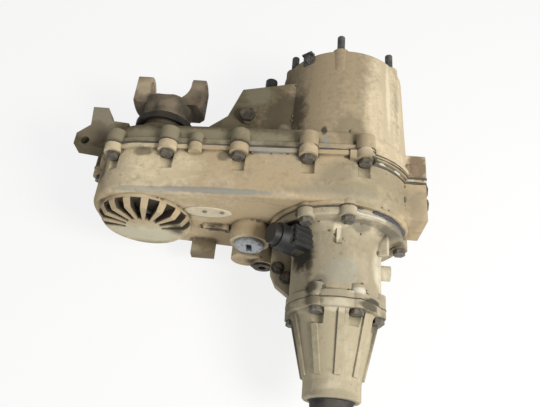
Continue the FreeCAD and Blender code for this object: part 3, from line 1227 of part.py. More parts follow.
def make_plugs():
    disc = turned("fill_disc", [
        ("0", "fill_station - 14"), ("fill_thread", "fill_station - 14"),
        ("fill_thread", "fill_station"), ("fill_radius", "fill_station"),
        ("fill_radius", "fill_station + 4"), ("fill_radius - 2", "fill_station + 6"),
        ("0", "fill_station + 6"),
    ], "-fill_offset", "-fill_drop")
    slot = block(("-fill_offset - 3.5", "fill_station - 1", "-fill_drop - fill_radius * 0.55"),
                 ("-fill_offset + 3.5", "fill_station + 8", "-fill_drop + fill_radius * 0.55"))
    node("fill_plug", cut("fill_plug_cut", disc, [slot]))
    drain = fuse("drain_plug_set", [
        cylinder("drain_thread", "12", "-drain_offset", "drain_station - 12", "-drain_drop"),
        cylinder("drain_radius", "3", "-drain_offset", "drain_station", "-drain_drop")])
    socket = hexagon("drain_socket", "9", "-drain_offset", "drain_station - 5", "-drain_drop")
    node("drain_plug", cut("drain_plug_cut", drain, [socket]))
    # speed sensor: stem in the retainer, a flange and a plug socket
    tilt = Rotation(Vector(0, -1, 0), number("sensor_turn")) * TOWARD["right"]
    items = []
    for radius, low, high in (("sensor_radius - fit_gap", "rear_journal + 13.5", "barrel_radius + 12"),
                              ("sensor_body", "barrel_radius + 12", "barrel_radius + 34"),
                              ("sensor_body - 3", "barrel_radius + 34", "barrel_radius + 42")):
        x, z = polar(low, "sensor_turn")
        item = DOC.addObject("Part::Cylinder", "sensor_step")
        bind(item, Radius=radius, Height=f"{high} - ({low})")
        items.append(place(item, x, "sensor_station", z, tilt))
    node("speed_sensor", fuse("speed_sensor_fuse", items))
    node("vent", fuse("vent_fuse", [
        cylinder("vent_radius", "10", "-vent_offset", "housing_front - 2", "-vent_drop"),
        hexagon("vent_radius + 2.5", "5", "-vent_offset", "housing_front - 7", "-vent_drop"),
        cylinder("vent_radius - 1.2", "14", "-vent_offset", "housing_front - 19", "-vent_drop"),
        cone("vent_radius - 1", "vent_radius", "4", "-vent_offset", "housing_front - 19",
             "-vent_drop")]))
    node("mode_switch", fuse("mode_switch_fuse", [
        cylinder("switch_thread", "10", "-switch_offset", "housing_front - 6", "switch_rise"),
        hexagon("switch_radius + 2", "6", "-switch_offset", "housing_front - 12", "switch_rise"),
        cylinder("switch_radius - 1", "16", "-switch_offset", "housing_front - 28",
                 "switch_rise")]))


def make_fasteners():
    studs = []
    for x, z in stud_places():
        studs.append(cylinder("stud_radius", "stud_reach + 1", x, "-stud_reach", z))
        studs.append(cylinder("stud_root", "stud_depth", x, "0", z))
    node("adapter_studs", fuse("stud_set", studs))
    bolts("case_bolts", seam_lugs(), "(seam + lug_depth)", into="lug_depth + thread_depth - 2")
    bolts("retainer_bolts", retainer_lugs(), "(seat_end + retainer_flange + 2)",
          into="retainer_flange + 2 + seat_thread")
    bolts("tail_bolts", tail_lugs(), "(tail_joint + tail_flange)",
          into="tail_flange + thread_depth - 2")
    node("dowel_pins", fuse("dowel_set", [
        cylinder("dowel_radius", "dowel_length", x, "seam - dowel_length / 2", z)
        for x, z in dowel_places()]))
    items = []
    for side in ("-0.5", "0.5"):
        station = f"pad_bolt_station + {side} * pad_bolt_gap"
        items.append(cylinder("pad_bolt_radius", "pad_thick", "pad_face - pad_thick + 1.5", station,
                              "pad_bolt_rise", "right"))
        items.append(hexagon("head_corner + 1", "head_height + 1", "pad_face", station,
                             "pad_bolt_rise", "right"))
    node("pad_bolts", fuse("pad_bolt_set", items))


make_front_case()
make_rear_case()
make_rear_retainer()
make_tail_housing()
make_input_gear()
make_planets()
make_annulus()
make_carrier()
make_sprockets()
make_chain()
make_main_shaft()
make_front_output()
make_bearings()
make_shift_parts()
make_oil_parts()
make_plugs()
make_fasteners()
DOC.recompute()

for item in DOC.Objects:
    if "Invalid" in item.State or "Error" in item.State:
        raise RuntimeError(f"{item.Name} did not compute: {item.State}")
os.makedirs("parts", exist_ok=True)
for item in NODES:
    if item.Shape.isNull() or not item.Shape.isValid():
        raise RuntimeError(f"{item.Label} has no valid shape")
for item in NODES:
    item.Shape.exportStep(f"parts/{item.Label}.step")
    print(item.Label, len(item.Shape.Solids), "solids", round(item.Shape.Volume / 1000, 2), "cm3")
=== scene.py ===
# %% [markdown]
# # A used transfer case, dressed for its portrait
# The solids of this gearbox come from the CAD model: castings, shafts, gears and bolts, each in
# its true place. This script never moves them. It gives every one of them the finish of a part
# that has worked under a truck for years, with painted shade and some painted light in those
# finishes, and it adds the few small things that CAD leaves out: beads of sealant, one pale bead
# that is a painted highlight, a bare tag, a wiring plug, two bolts, a pipe clip, dried mud and
# wear.

import math
import random

import bmesh
import bpy
from mathutils import Matrix, Vector
from mathutils.bvhtree import BVHTree


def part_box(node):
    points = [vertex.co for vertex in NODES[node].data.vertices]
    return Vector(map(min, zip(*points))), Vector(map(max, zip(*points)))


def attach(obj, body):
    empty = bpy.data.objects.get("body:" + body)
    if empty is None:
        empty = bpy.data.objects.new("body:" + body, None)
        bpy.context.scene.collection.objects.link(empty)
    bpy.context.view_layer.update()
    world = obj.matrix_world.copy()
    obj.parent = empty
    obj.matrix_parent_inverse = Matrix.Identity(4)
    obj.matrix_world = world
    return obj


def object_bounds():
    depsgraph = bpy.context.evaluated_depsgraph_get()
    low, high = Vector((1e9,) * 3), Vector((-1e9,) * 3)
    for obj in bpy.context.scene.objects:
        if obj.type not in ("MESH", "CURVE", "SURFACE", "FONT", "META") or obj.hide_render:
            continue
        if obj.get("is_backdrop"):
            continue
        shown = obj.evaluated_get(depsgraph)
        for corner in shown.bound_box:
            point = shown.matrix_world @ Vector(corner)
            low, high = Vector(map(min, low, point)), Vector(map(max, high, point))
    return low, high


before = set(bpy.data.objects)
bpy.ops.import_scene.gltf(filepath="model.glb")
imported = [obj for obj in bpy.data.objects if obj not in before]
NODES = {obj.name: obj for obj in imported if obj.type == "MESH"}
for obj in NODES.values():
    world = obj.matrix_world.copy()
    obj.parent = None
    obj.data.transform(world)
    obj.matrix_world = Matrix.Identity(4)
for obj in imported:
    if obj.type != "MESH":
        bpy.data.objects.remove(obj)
cad_low, cad_high = (Vector(corner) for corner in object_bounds())
RIGHT, FORWARD, UP = (Vector(axis) for axis in ((1, 0, 0), (0, 1, 0), (0, 0, 1)))
print("nodes:", len(NODES), "size in mm:", [round(1000 * side) for side in cad_high - cad_low])

# %% [markdown]
# ## Socket sums
# A material is a small program, and drawing it node by node hides the sums it does. This class
# wraps one output socket, so that `1 - mask * 0.4` reads as a sum and still builds Math nodes.
# Only the operators that the finishes use are here. Each has its reflected form, because a
# number may stand on the left of a mask as well as on the right.


# %% The socket class
class Flow:
    """One output socket of a sheet of nodes, ready to be used in a sum."""

    def __init__(self, sheet, socket):
        self.sheet, self.socket = sheet, socket

    def sum(self, operation, first, second):
        """A Math node on two values, as its output."""
        return self.sheet.node("ShaderNodeMath", {"operation": operation}, {0: first, 1: second})

    def __add__(self, other):
        return self.sum("ADD", self, other)

    def __radd__(self, other):
        return self.sum("ADD", other, self)

    def __sub__(self, other):
        return self.sum("SUBTRACT", self, other)

    def __rsub__(self, other):
        return self.sum("SUBTRACT", other, self)

    def __mul__(self, other):
        return self.sum("MULTIPLY", self, other)

    def __rmul__(self, other):
        return self.sum("MULTIPLY", other, self)


# %% [markdown]
# ## One way to make a node
# Every other node comes from one method, which takes the node's type, its settings and what goes
# into its sockets. Settings come first, because a Mix node shows other sockets once it mixes
# colours. The world has nodes too, so the method belongs to a class that knows only a node tree.


# %% The sheet class
class Sheet:
    """A node tree, a material's or the world's, that nodes are added to."""

    def __init__(self, tree):
        self.tree = tree

    def feed(self, socket, value):
        """Give a socket a link, a number or a colour."""
        if isinstance(value, Flow):
            self.tree.links.new(value.socket, socket)
        elif isinstance(value, tuple) and len(value) == 3 and socket.type == "RGBA":
            socket.default_value = (*value, 1)
        else:
            socket.default_value = value

    def node(self, kind, settings=None, inputs=None, output=0):
        """Add a node, set it up, feed its sockets and give back one of its outputs."""
        item = self.tree.nodes.new(kind)
        for name, value in (settings or {}).items():
            setattr(item, name, value)
        for socket, value in (inputs or {}).items():
            self.feed(item.inputs[socket], value)
        return Flow(self, item.outputs[output])


# %% [markdown]
# ## What a finish is made of
# A finish is a material that ends in one Principled shader. Around it stand a few words for what
# the finishes need again and again: a noise, a soft threshold, a mix of two colours, the corners
# that hold dirt and painted shade, and the edges that rub bare. With them a finish reads as a list
# of its layers.


# %% The finish class
# A mark fades between these two shares of its reach. Noise tears its border, and each of the two
# moves out with how ragged the border is.
FADE_OUT, FADE_IN = 1.0, 0.82
TORN_OUT, TORN_IN = 1.15, 0.75


class Finish(Sheet):
    """A procedural material under construction, ending in one Principled shader."""

    def __init__(self, name, roughness=0.6, metallic=0.0, **constants):
        self.material = bpy.data.materials.new(name)
        self.material.use_nodes = True
        super().__init__(self.material.node_tree)
        self.shader = self.tree.nodes["Principled BSDF"]
        self.set(Roughness=roughness, Metallic=metallic, **constants)
        self.place = self.node("ShaderNodeTexCoord", output="Object")
        self.tears = None

    def set(self, **values):
        """Feed sockets of the shader; an underscore in a name stands for a space."""
        for name, value in values.items():
            self.feed(self.shader.inputs[name.replace("_", " ")], value)

    def noise(self, scale, detail=3.0, stretch=(1, 1, 1), warp=0.0):
        """Cloudy values from 0 to 1; scale is in cells per metre."""
        where = self.node("ShaderNodeMapping", None, {"Vector": self.place, "Scale": stretch})
        return self.node("ShaderNodeTexNoise", None,
                         {"Vector": where, "Scale": scale, "Detail": detail, "Distortion": warp})

    def step(self, value, low, high):
        """0 below low, 1 above high, and an even slope between them."""
        return self.node("ShaderNodeMapRange", {"clamp": True},
                         {"Value": value, "From Min": low, "From Max": high})

    def mix(self, first, second, factor):
        """A colour between two colours."""
        settings = {"data_type": "RGBA", "clamp_factor": True}
        return self.node("ShaderNodeMix", settings, {0: factor, 6: first, 7: second}, 2)

    def axis(self, vector, letter):
        """One of a vector's three numbers."""
        return self.node("ShaderNodeSeparateXYZ", None, {0: vector}, "XYZ".index(letter))

    def within(self, centre, reach, ragged):
        """1 near a place, 0 past its reach, a half size along each axis, with a torn border."""
        apart = self.node("ShaderNodeVectorMath", {"operation": "SUBTRACT"},
                          {0: self.place, 1: centre})
        scaled = self.node("ShaderNodeVectorMath", {"operation": "DIVIDE"}, {0: apart, 1: reach})
        away = self.node("ShaderNodeVectorMath", {"operation": "LENGTH"}, {0: scaled}, "Value")
        if self.tears is None:
            self.tears = self.noise(95, 5, warp=0.5) * 1.5 + self.noise(420, 3) * 0.4
        return self.step(away + self.tears * ragged, FADE_OUT + TORN_OUT * ragged,
                         FADE_IN + TORN_IN * ragged)

    def facing(self, letter):
        """How far the surface looks along an axis, from -1 to 1."""
        normal = self.node("ShaderNodeNewGeometry", None, None, "True Normal")
        return self.axis(normal, letter)

    def recess(self, reach):
        """1 deep in a corner or a slot, 0 in the open."""
        open_share = self.node("ShaderNodeAmbientOcclusion", {"samples": 8},
                               {"Distance": reach}, "AO")
        return 1 - open_share

    def edge(self, width):
        """1 on an outward or inward edge, 0 on a flat face."""
        true = self.node("ShaderNodeNewGeometry", None, None, "True Normal")
        rounded = self.node("ShaderNodeBevel", {"samples": 6}, {"Radius": width})
        same = self.node("ShaderNodeVectorMath", {"operation": "DOT_PRODUCT"},
                         {0: true, 1: rounded}, "Value")
        return self.step(1 - same, 0.02, 0.3)

    def bumps(self, *layers, soften=0.0):
        """Bump layers, each (height, strength, depth in metres), over a softened edge."""
        normal = None
        if soften:
            normal = self.node("ShaderNodeBevel", {"samples": 4}, {"Radius": soften})
        for height, strength, depth in layers:
            inputs = {"Height": height, "Strength": strength, "Distance": depth}
            if normal:
                inputs["Normal"] = normal
            normal = self.node("ShaderNodeBump", None, inputs)
        self.set(Normal=normal)
        return self.material


# %% [markdown]
# ## Where things are
# Stains, beads and lumps are placed by the CAD solids themselves: a share of a node's box along
# each axis names a spot, so that a stain stays on its lug when the sizes change. A mark is such a
# spot with a half size in millimetres along each axis, a colour, and how much of it shows.


# %% Places on the solids
def spot(name, across, along, up):
    """A point in a node's box: shares of its width (+X), length (+Y) and height (+Z)."""
    low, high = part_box(name)
    return Vector((low.x + across * (high.x - low.x), low.y + along * (high.y - low.y),
                   low.z + up * (high.z - low.z)))


def marks(name, *rows):
    """Marks on a node, each from a spot in its box, half sizes in mm, a colour and a share."""
    return [(spot(name, *where), tuple(size / 1000 for size in reach), colour, share)
            for where, reach, colour, share in rows]


print("middle of the rear case in mm:",
      [round(1000 * value) for value in spot("rear_case", 0.5, 0.5, 0.5)])

# %% [markdown]
# ## Cast aluminium under road dust
# The housings are sand-cast aluminium. New, they are pale grey; after years on dirt roads the
# skin holds a tan film of dust, thicker where it can lie and browner where oil has wept. Paint
# would be one flat colour, so this finish builds the film in layers instead: metal, then dust in
# soft clouds, then oily grime in the corners, darkened further as painted shade, then bare metal
# again where edges rub clean. The sand mould leaves a fine grain, which two bump layers bring
# back. Regions are marks with soft borders that carry clouds of their own, and stains are marks
# with torn borders and one colour; some regions and stains are painted light or painted shade.


# %% The casting finish
DUST = (0.475, 0.375, 0.235)
PALE_DUST = (0.66, 0.56, 0.39)
SHADE = (0.3, 0.235, 0.15)
GRIME_AND_SHADE = (0.05, 0.038, 0.024)
RUBBED = (0.5, 0.48, 0.42)
PIT_SHADE = (0.045, 0.034, 0.022)
SOFT_BORDER, TORN_BORDER = 0.12, 0.55


def casting(name, film=DUST, pale=PALE_DUST, shade=SHADE, grime_and_shade_share=0.9, streak=(1, 1, 1),
            stains_and_painted_light=(), regions=(), pits=None):
    """Cast aluminium under a film of dust, marks, grime and painted shade in corners, rubbed edges.
    """
    finish = Finish(name, metallic=0.05, Specular_IOR_Level=0.3)
    clouds = finish.noise(16, 4, warp=0.4)
    fine = finish.noise(170, 5)
    streaks = finish.noise(70, 3, streak)
    # Dust, pale where it lies thick and darker in fine streaks.
    base = finish.mix(film, pale, finish.step(clouds * 0.5 + streaks * 0.5, 0.5, 0.68))
    base = finish.mix(base, shade, finish.step(fine * 0.4 + streaks * 0.6, 0.5, 0.66) * 0.55)
    # Regions repeat both layers in their own colour, half as bright again or half as dark.
    for place, reach, colour, share in regions:
        mask = finish.within(place, reach, SOFT_BORDER)
        tone = finish.mix(colour, tuple(1.5 * value for value in colour),
                          finish.step(clouds * 0.5 + streaks * 0.5, 0.47, 0.68))
        tone = finish.mix(tone, tuple(0.55 * value for value in colour),
                          finish.step(fine * 0.4 + streaks * 0.6, 0.5, 0.66) * 0.7)
        base = finish.mix(base, tone, mask * share)
    for place, reach, colour, share in stains_and_painted_light:
        base = finish.mix(base, colour, finish.within(place, reach, TORN_BORDER) * share)
    if pits:
        # Pits between the dome's ribs, painted nearly black as painted shade.
        base = finish.mix(base, PIT_SHADE, pits(finish) * 0.93)
    # Grime with painted shade in the corners, grime in specks, and bare metal on edges that neither
    # covers.
    corner = finish.recess(0.014)
    stain = finish.noise(40, 4, warp=0.6)
    # The dirt mask is grime and painted shade together.
    dirt = finish.step(corner * 0.85 + stain * 0.4, 0.44, 0.86)
    base = finish.mix(base, GRIME_AND_SHADE, dirt * grime_and_shade_share)
    specks = finish.step(finish.noise(330, 3), 0.64, 0.74)
    base = finish.mix(base, GRIME_AND_SHADE, specks * 0.35)
    worn = finish.edge(0.0013) * finish.step(finish.noise(75, 3), 0.45, 0.62) * (1 - dirt)
    base = finish.mix(base, RUBBED, worn * 0.6)
    finish.set(Base_Color=base, Roughness=0.82 - worn * 0.35 - dirt * 0.2, Metallic=worn * 0.4)
    grain = finish.noise(900, 2)
    return finish.bumps((clouds, 0.25, 0.002), (fine, 0.5, 0.0008), (grain, 0.35, 0.0003),
                        soften=0.0012)


print("dust and grime:", DUST, GRIME_AND_SHADE)

# %% [markdown]
# ## Painted shade in the pits of the dome
# The dome over the front output is cast as a hub with ribs like spokes, and the pits between them
# are painted dark as painted shade. A stain would run over the ribs as well. So the finish measures
# depth: a ray cast from behind finds the crown, and what lies deeper than the ribs' outer faces,
# and inside the rim, is pit. Near the rim the ribs fall away forwards, and the measure falls with
# them.


# %% The pits of the dome
# The ribs fall away between these two radii, by this much for each metre outwards.
PIT_RIM, PIT_EDGE, PIT_SLOPE = 0.049, 0.0552, 1.15
# Painted shade begins at the first depth below the crown and is full at the second.
PIT_START, PIT_FULL = 0.004, 0.006
RIM_FADE = 0.001

shaft_low, shaft_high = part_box("front_output_shaft")
dome_axis = (shaft_low + shaft_high) / 2
rear_tree = BVHTree.FromObject(NODES["rear_case"], bpy.context.evaluated_depsgraph_get())
behind = Vector((dome_axis.x, cad_low.y - 0.1, dome_axis.z))
CROWN = rear_tree.ray_cast(behind, FORWARD)[0]
print("crown of the dome in mm:", [round(1000 * value) for value in CROWN])


def dome_pits(finish):
    """1 on the floors and walls of the pits between the dome's ribs, 0 on the ribs' faces."""
    beside = finish.node("ShaderNodeVectorMath", {"operation": "SUBTRACT"},
                         {0: finish.place, 1: CROWN})
    flat = finish.node("ShaderNodeVectorMath", {"operation": "MULTIPLY"},
                       {0: beside, 1: (1, 0, 1)})
    radius = finish.node("ShaderNodeVectorMath", {"operation": "LENGTH"}, {0: flat}, "Value")
    slope = finish.step(radius, PIT_RIM, PIT_EDGE) * ((PIT_EDGE - PIT_RIM) * PIT_SLOPE)
    depth = finish.axis(beside, "Y") - slope
    wander = finish.noise(90, 3) * 0.002
    inside = finish.step(radius, PIT_EDGE, PIT_EDGE - RIM_FADE)
    return finish.step(depth + wander, PIT_START, PIT_FULL) * inside


# %% [markdown]
# ## Four castings that aged apart
# The front half faces the engine, so its flat box and ramps hold oil and are olive brown, made
# darker still by painted shade. Its round drum is paler on the right, partly its own tone and
# partly painted light, with a painted highlight along it and a painted shadow in the valley on
# its left. The rear half took the dust of the road, and a strap or a crossmember rubbed a grey
# band along the corner above its wall. The retainer and the tail are greyer. Each casting has its
# own marks, from wide ones to spots round single bolts, and some of them are painted shade.

# %% The front casting
front_metal = casting(
    "olive_dusted_casting", film=(0.4, 0.315, 0.2), pale=(0.5, 0.415, 0.275),
    shade=(0.24, 0.19, 0.125), streak=(1, 0.06, 1),
    regions=marks(
        "front_case",
        # These two, over the box and ramps left of the drum and along the seam: olive brown oil,
        # made darker still by painted shade.
        ((0.27, 0.4, 0.5), (168, 400, 400), (0.13, 0.105, 0.063), 1.0),
        ((0.52, 0.1, 0.9), (60, 24, 60), (0.15, 0.125, 0.078), 0.9),
        # The drum's right: paler, partly its own tone and partly painted light on its lit side.
        ((0.92, 0.5, 0.8), (55, 140, 60), (0.57, 0.48, 0.33), 0.95),
    ),
    stains_and_painted_light=marks(
        "front_case",
        ((0.35, 0.07, 0.88), (170, 13, 30), (0.275, 0.24, 0.158), 0.9),
        ((0.055, 0.32, 0.735), (26, 24, 9), (0.3, 0.265, 0.195), 0.85),
        # A painted shadow in the valley between the shift housing and the drum.
        ((0.6, 0.42, 0.78), (30, 42, 30), (0.085, 0.068, 0.042), 0.85),
        ((0.51, 0.62, 0.8), (20, 20, 14), (0.2, 0.185, 0.125), 0.7),
        ((0.775, 0.2, 0.93), (19, 26, 14), (0.24, 0.2, 0.125), 0.7),
        ((0.705, 0.18, 0.92), (4, 8, 10), (0.07, 0.062, 0.045), 0.9),
        ((0.71, 0.06, 0.92), (5, 13, 12), (0.3, 0.3, 0.28), 0.7),
        # A painted highlight along the lit right side of the drum.
        ((0.885, 0.6, 0.8), (4, 70, 12), (0.78, 0.7, 0.52), 0.7),
        ((0.91, 0.55, 0.73), (5, 90, 10), (0.36, 0.33, 0.27), 0.8),
        ((0.6, 0.3, 0.85), (14, 12, 20), (0.3, 0.25, 0.17), 0.8),
        ((0.975, 0.12, 0.72), (14, 30, 12), (0.2, 0.14, 0.09), 0.9),
        ((0.05, 0.2, 0.73), (22, 16, 14), (0.2, 0.165, 0.11), 0.9),
        ((0.5, 0.02, 0.88), (34, 10, 12), (0.4, 0.36, 0.27), 0.6),
    ))
print("front casting:", front_metal.name)

# %% The rear casting
rear_metal = casting(
    "tan_dusted_casting", streak=(0.5, 1, 1), pits=dome_pits,
    regions=marks(
        "rear_case",
        ((0.12, 0.75, 0.87), (110, 60, 20), (0.62, 0.53, 0.355), 0.75),
        ((0.3, 0.12, 0.45), (140, 14, 40), (0.56, 0.505, 0.345), 0.6),
        ((0.86, 0.6, 0.9), (80, 36, 50), (0.31, 0.265, 0.175), 0.85),
    ),
    stains_and_painted_light=marks(
        "rear_case",
        ((0.41, 0.365, 0.89), (90, 3.6, 9), (0.27, 0.265, 0.235), 0.9),
        ((0.2, 0.35, 0.86), (60, 3, 9), (0.34, 0.32, 0.27), 0.75),
        ((0.74, 0.42, 0.93), (60, 9, 12), (0.33, 0.29, 0.21), 0.6),
        ((0.288, 0.258, 0.545), (17, 14, 22), (0.08, 0.066, 0.042), 0.9),
        # Painted shade on the floor of the slot beside the dome.
        ((0.4, 0.28, 0.46), (19, 12, 13), (0.03, 0.023, 0.015), 0.95),
        ((0.351, 0.13, 0.24), (26, 26, 18), (0.14, 0.11, 0.07), 0.9),
        ((0.183, 0.14, 0.46), (44, 6, 22), (0.6, 0.565, 0.44), 0.75),
        ((0.22, 0.17, 0.29), (62, 9, 13), (0.32, 0.305, 0.215), 0.8),
        # Painted shade in a dark strip on the left end of the case.
        ((0.058, 0.72, 0.775), (9, 26, 17), (0.12, 0.098, 0.064), 0.9),
        # These three are painted shade round the bolts of the seam lugs.
        ((0.19, 0.88, 0.87), (12, 6, 9), (0.1, 0.08, 0.05), 0.7),
        ((0.267, 0.8, 0.9), (9, 9, 9), (0.09, 0.07, 0.045), 0.75),
        ((0.423, 0.86, 0.895), (10, 7, 8), (0.12, 0.1, 0.07), 0.7),
        ((0.55, 0.95, 0.93), (34, 6, 9), (0.33, 0.33, 0.3), 0.7),
        ((0.62, 0.8, 0.95), (36, 16, 12), (0.44, 0.37, 0.25), 0.5),
        ((0.97, 0.5, 0.7), (9, 30, 26), (0.3, 0.25, 0.17), 0.5),
        ((0.51, 0.06, 0.4), (20, 14, 12), (0.2, 0.165, 0.11), 0.8),
        ((0.53, 0.03, 0.26), (18, 12, 12), (0.1, 0.08, 0.055), 0.85),
    ))
print("rear casting:", rear_metal.name)

# %% The retainer and the tail
tail_metal = casting(
    "grey_dusted_casting", film=(0.36, 0.31, 0.215), pale=(0.54, 0.48, 0.345),
    shade=(0.25, 0.21, 0.145), streak=(1, 0.06, 1),
    regions=marks(
        "rear_retainer",
        ((0.82, 0.45, 0.75), (20, 36, 60), (0.55, 0.5, 0.38), 0.9),
        ((0.45, 0.85, 0.9), (40, 12, 20), (0.45, 0.39, 0.28), 0.7),
    ),
    stains_and_painted_light=marks(
        "rear_retainer",
        ((0.35, 0.15, 0.8), (10, 12, 12), (0.2, 0.19, 0.15), 0.7),
        ((0.5, 0.3, 0.82), (22, 16, 12), (0.33, 0.32, 0.26), 0.6),
        ((0.61, 0.8, 0.83), (14, 8, 14), (0.16, 0.148, 0.115), 0.7),
        ((0.82, 0.86, 0.72), (28, 9, 28), (0.17, 0.155, 0.12), 0.85),
        ((0.45, 0.72, 0.84), (5, 14, 8), (0.7, 0.63, 0.46), 0.85),
        # Painted shade along the barrel's left edge under the wiring plug, then a near-black
        # painted shadow between the plug's boss and the barrel.
        ((0.28, 0.38, 0.66), (7, 26, 20), (0.08, 0.065, 0.045), 0.85),
        ((0.19, 0.52, 0.7), (24, 24, 22), (0.022, 0.019, 0.014), 0.95),
        ((0.3, 0.1, 0.77), (8, 8, 12), (0.06, 0.05, 0.035), 0.85),
        ((0.68, 0.09, 0.84), (22, 5, 12), (0.72, 0.68, 0.58), 0.75),
        ((0.7, 0.01, 0.74), (17, 6, 14), (0.045, 0.038, 0.027), 0.9),
        ((0.93, 0.76, 0.55), (10, 14, 16), (0.12, 0.1, 0.07), 0.8),
        ((0.33, 0.01, 0.75), (12, 4, 10), (0.06, 0.05, 0.035), 0.8),
    ))
end_metal = casting(
    "tail_casting", film=(0.42, 0.365, 0.25), pale=(0.6, 0.54, 0.395), shade=(0.27, 0.23, 0.155),
    streak=(1, 0.05, 1),
    stains_and_painted_light=marks(
        "tail_housing",
        ((0.78, 0.96, 0.9), (17, 6, 12), (0.06, 0.05, 0.035), 0.85),
        ((0.25, 0.96, 0.93), (12, 6, 12), (0.1, 0.08, 0.055), 0.7),
        ((0.5, 0.93, 0.95), (16, 8, 10), (0.6, 0.55, 0.42), 0.7),
        ((0.5, 0.03, 0.75), (30, 6, 20), (0.3, 0.26, 0.18), 0.6),
        # These two are painted shade along both flanks of the round tail.
        ((0.06, 0.6, 0.5), (13, 70, 40), (0.17, 0.148, 0.1), 0.85),
        ((0.95, 0.55, 0.5), (13, 80, 40), (0.19, 0.17, 0.12), 0.85),
    ))
print("retainer and tail:", tail_metal.name, end_metal.name)

# %% [markdown]
# ## Forged steel
# The output yoke is forged and was never painted, so it has a brown skin of light rust with dust
# on top. Two colours under one noise make the skin. Dust needs to know which way is up, so it
# goes by the surface's direction. Dirt and painted shade darken the recesses, and the edges are
# rubbed to bare steel last.


# %% The forging's finish
DEEP_DIRT_AND_SHADE = (0.02, 0.015, 0.011)
BARE_STEEL = (0.34, 0.3, 0.25)


def rusted(name, skin=(0.1, 0.083, 0.058), rust=(0.19, 0.125, 0.077), dust=(0.25, 0.2, 0.135),
           stains_and_painted_light=()):
    """Forged steel with a skin of rust, dust on top, marks, and dirt with painted shade in
    recesses.
    """
    finish = Finish(name, metallic=0.2)
    patches = finish.noise(60, 5, warp=0.5)
    base = finish.mix(skin, rust, finish.step(patches, 0.5, 0.68))
    for place, reach, colour, share in stains_and_painted_light:
        base = finish.mix(base, colour, finish.within(place, reach, TORN_BORDER) * share)
    upward = finish.step(finish.facing("Z"), -0.1, 0.8)
    lying = upward * finish.step(finish.noise(40, 4), 0.38, 0.62)
    base = finish.mix(base, dust, lying * 0.8)
    # Dirt in the recesses, darkened further as painted shade.
    corner = finish.step(finish.recess(0.012), 0.25, 0.8)
    base = finish.mix(base, DEEP_DIRT_AND_SHADE, corner * 0.9)
    worn = finish.edge(0.0012) * finish.step(patches, 0.4, 0.6)
    base = finish.mix(base, BARE_STEEL, worn * 0.45)
    finish.set(Base_Color=base, Roughness=0.8 - worn * 0.35, Metallic=0.1 + worn * 0.4)
    return finish.bumps((patches, 0.4, 0.001), (finish.noise(500, 3), 0.4, 0.0005), soften=0.001)


print("bare steel and deep dirt:", BARE_STEEL, DEEP_DIRT_AND_SHADE)

# %% [markdown]
# ## Plated bolts, studs and plugs
# Bolts and studs are plated: grey, darkened by oil and by painted shade in their recesses, bright
# only on their corners. The solids leave the threads out, as a screw thread is thousands of faces
# for a mark as fine as a hair. A wave texture along the stud's axis stands for it, as a bump.


# %% The fasteners' finish
OILY_SHADED_CORNER = (0.02, 0.017, 0.013)
BRIGHT_CORNER = (0.5, 0.48, 0.44)


def plated(name, metal=(0.2, 0.185, 0.16), oil=(0.035, 0.03, 0.025), dirt=0.6, threads=0.0):
    """Plated steel, darkened by oil and painted shade; threads is a wave's scale along Y, 0 for
    none.
    """
    finish = Finish(name, metallic=0.5)
    patches = finish.noise(220, 4, warp=0.3)
    base = finish.mix(metal, oil, finish.step(patches, 0.62 - dirt * 0.3, 0.72) * 0.8)
    base = finish.mix(base, (0.3, 0.24, 0.16), finish.step(finish.noise(90, 3), 0.52, 0.68) * 0.4)
    # Oil in the recesses, darkened further as painted shade.
    corner = finish.step(finish.recess(0.006), 0.2, 0.8)
    base = finish.mix(base, OILY_SHADED_CORNER, corner * 0.85)
    worn = finish.edge(0.0007)
    base = finish.mix(base, BRIGHT_CORNER, worn * 0.4)
    finish.set(Base_Color=base, Roughness=0.5 + patches * 0.25 - worn * 0.2)
    layers = [(patches, 0.35, 0.0004), (finish.noise(1500, 2), 0.2, 0.0001)]
    if threads:
        turns = finish.node("ShaderNodeTexWave", {"bands_direction": "Y"},
                            {"Vector": finish.place, "Scale": threads})
        layers.append((turns, 0.9, 0.0009))
    return finish.bumps(*layers, soften=0.0005)


print("bright and oily corners:", BRIGHT_CORNER, OILY_SHADED_CORNER)

# %% [markdown]
# ## Oiled, turned steel
# Inside, oil keeps the shafts and gears clean, and turning on a lathe leaves fine rings round them.
# Rings are bands along the axis of the shaft, so a wave texture makes these too, bent a little so
# that no two are alike. Bronze is the same finish in another colour.


# %% The turned finish
FILM_BROWN = (0.3, 0.24, 0.15)


def turned(name, metal=(0.56, 0.55, 0.53), roughness=0.32):
    """Oiled steel with fine rings about an axis along Y."""
    finish = Finish(name, metallic=0.9)
    rings = finish.node("ShaderNodeTexWave", {"bands_direction": "Y"},
                        {"Vector": finish.place, "Scale": 420.0, "Distortion": 1.5, "Detail": 2.0})
    film = finish.noise(45, 4, warp=0.3)
    base = finish.mix(metal, FILM_BROWN, finish.step(film, 0.45, 0.75) * 0.5)
    # Oil in the recesses, darkened further as painted shade.
    corner = finish.step(finish.recess(0.004), 0.3, 0.9)
    base = finish.mix(base, (0.05, 0.04, 0.03), corner * 0.6)
    finish.set(Base_Color=base, Roughness=roughness + film * 0.12)
    return finish.bumps((rings, 0.15, 0.0002), soften=0.0004)


print("oil film:", FILM_BROWN)

# %% [markdown]
# ## All the steels
# Each steel is one of the three finishes with its own colours. The yoke has marks too: a pale
# left ear, a duller right one, and dark patches in its fork and on its right ear. The thrower ring
# behind it is nearly black with oil, and the plugs differ in how much mud has caked on them.

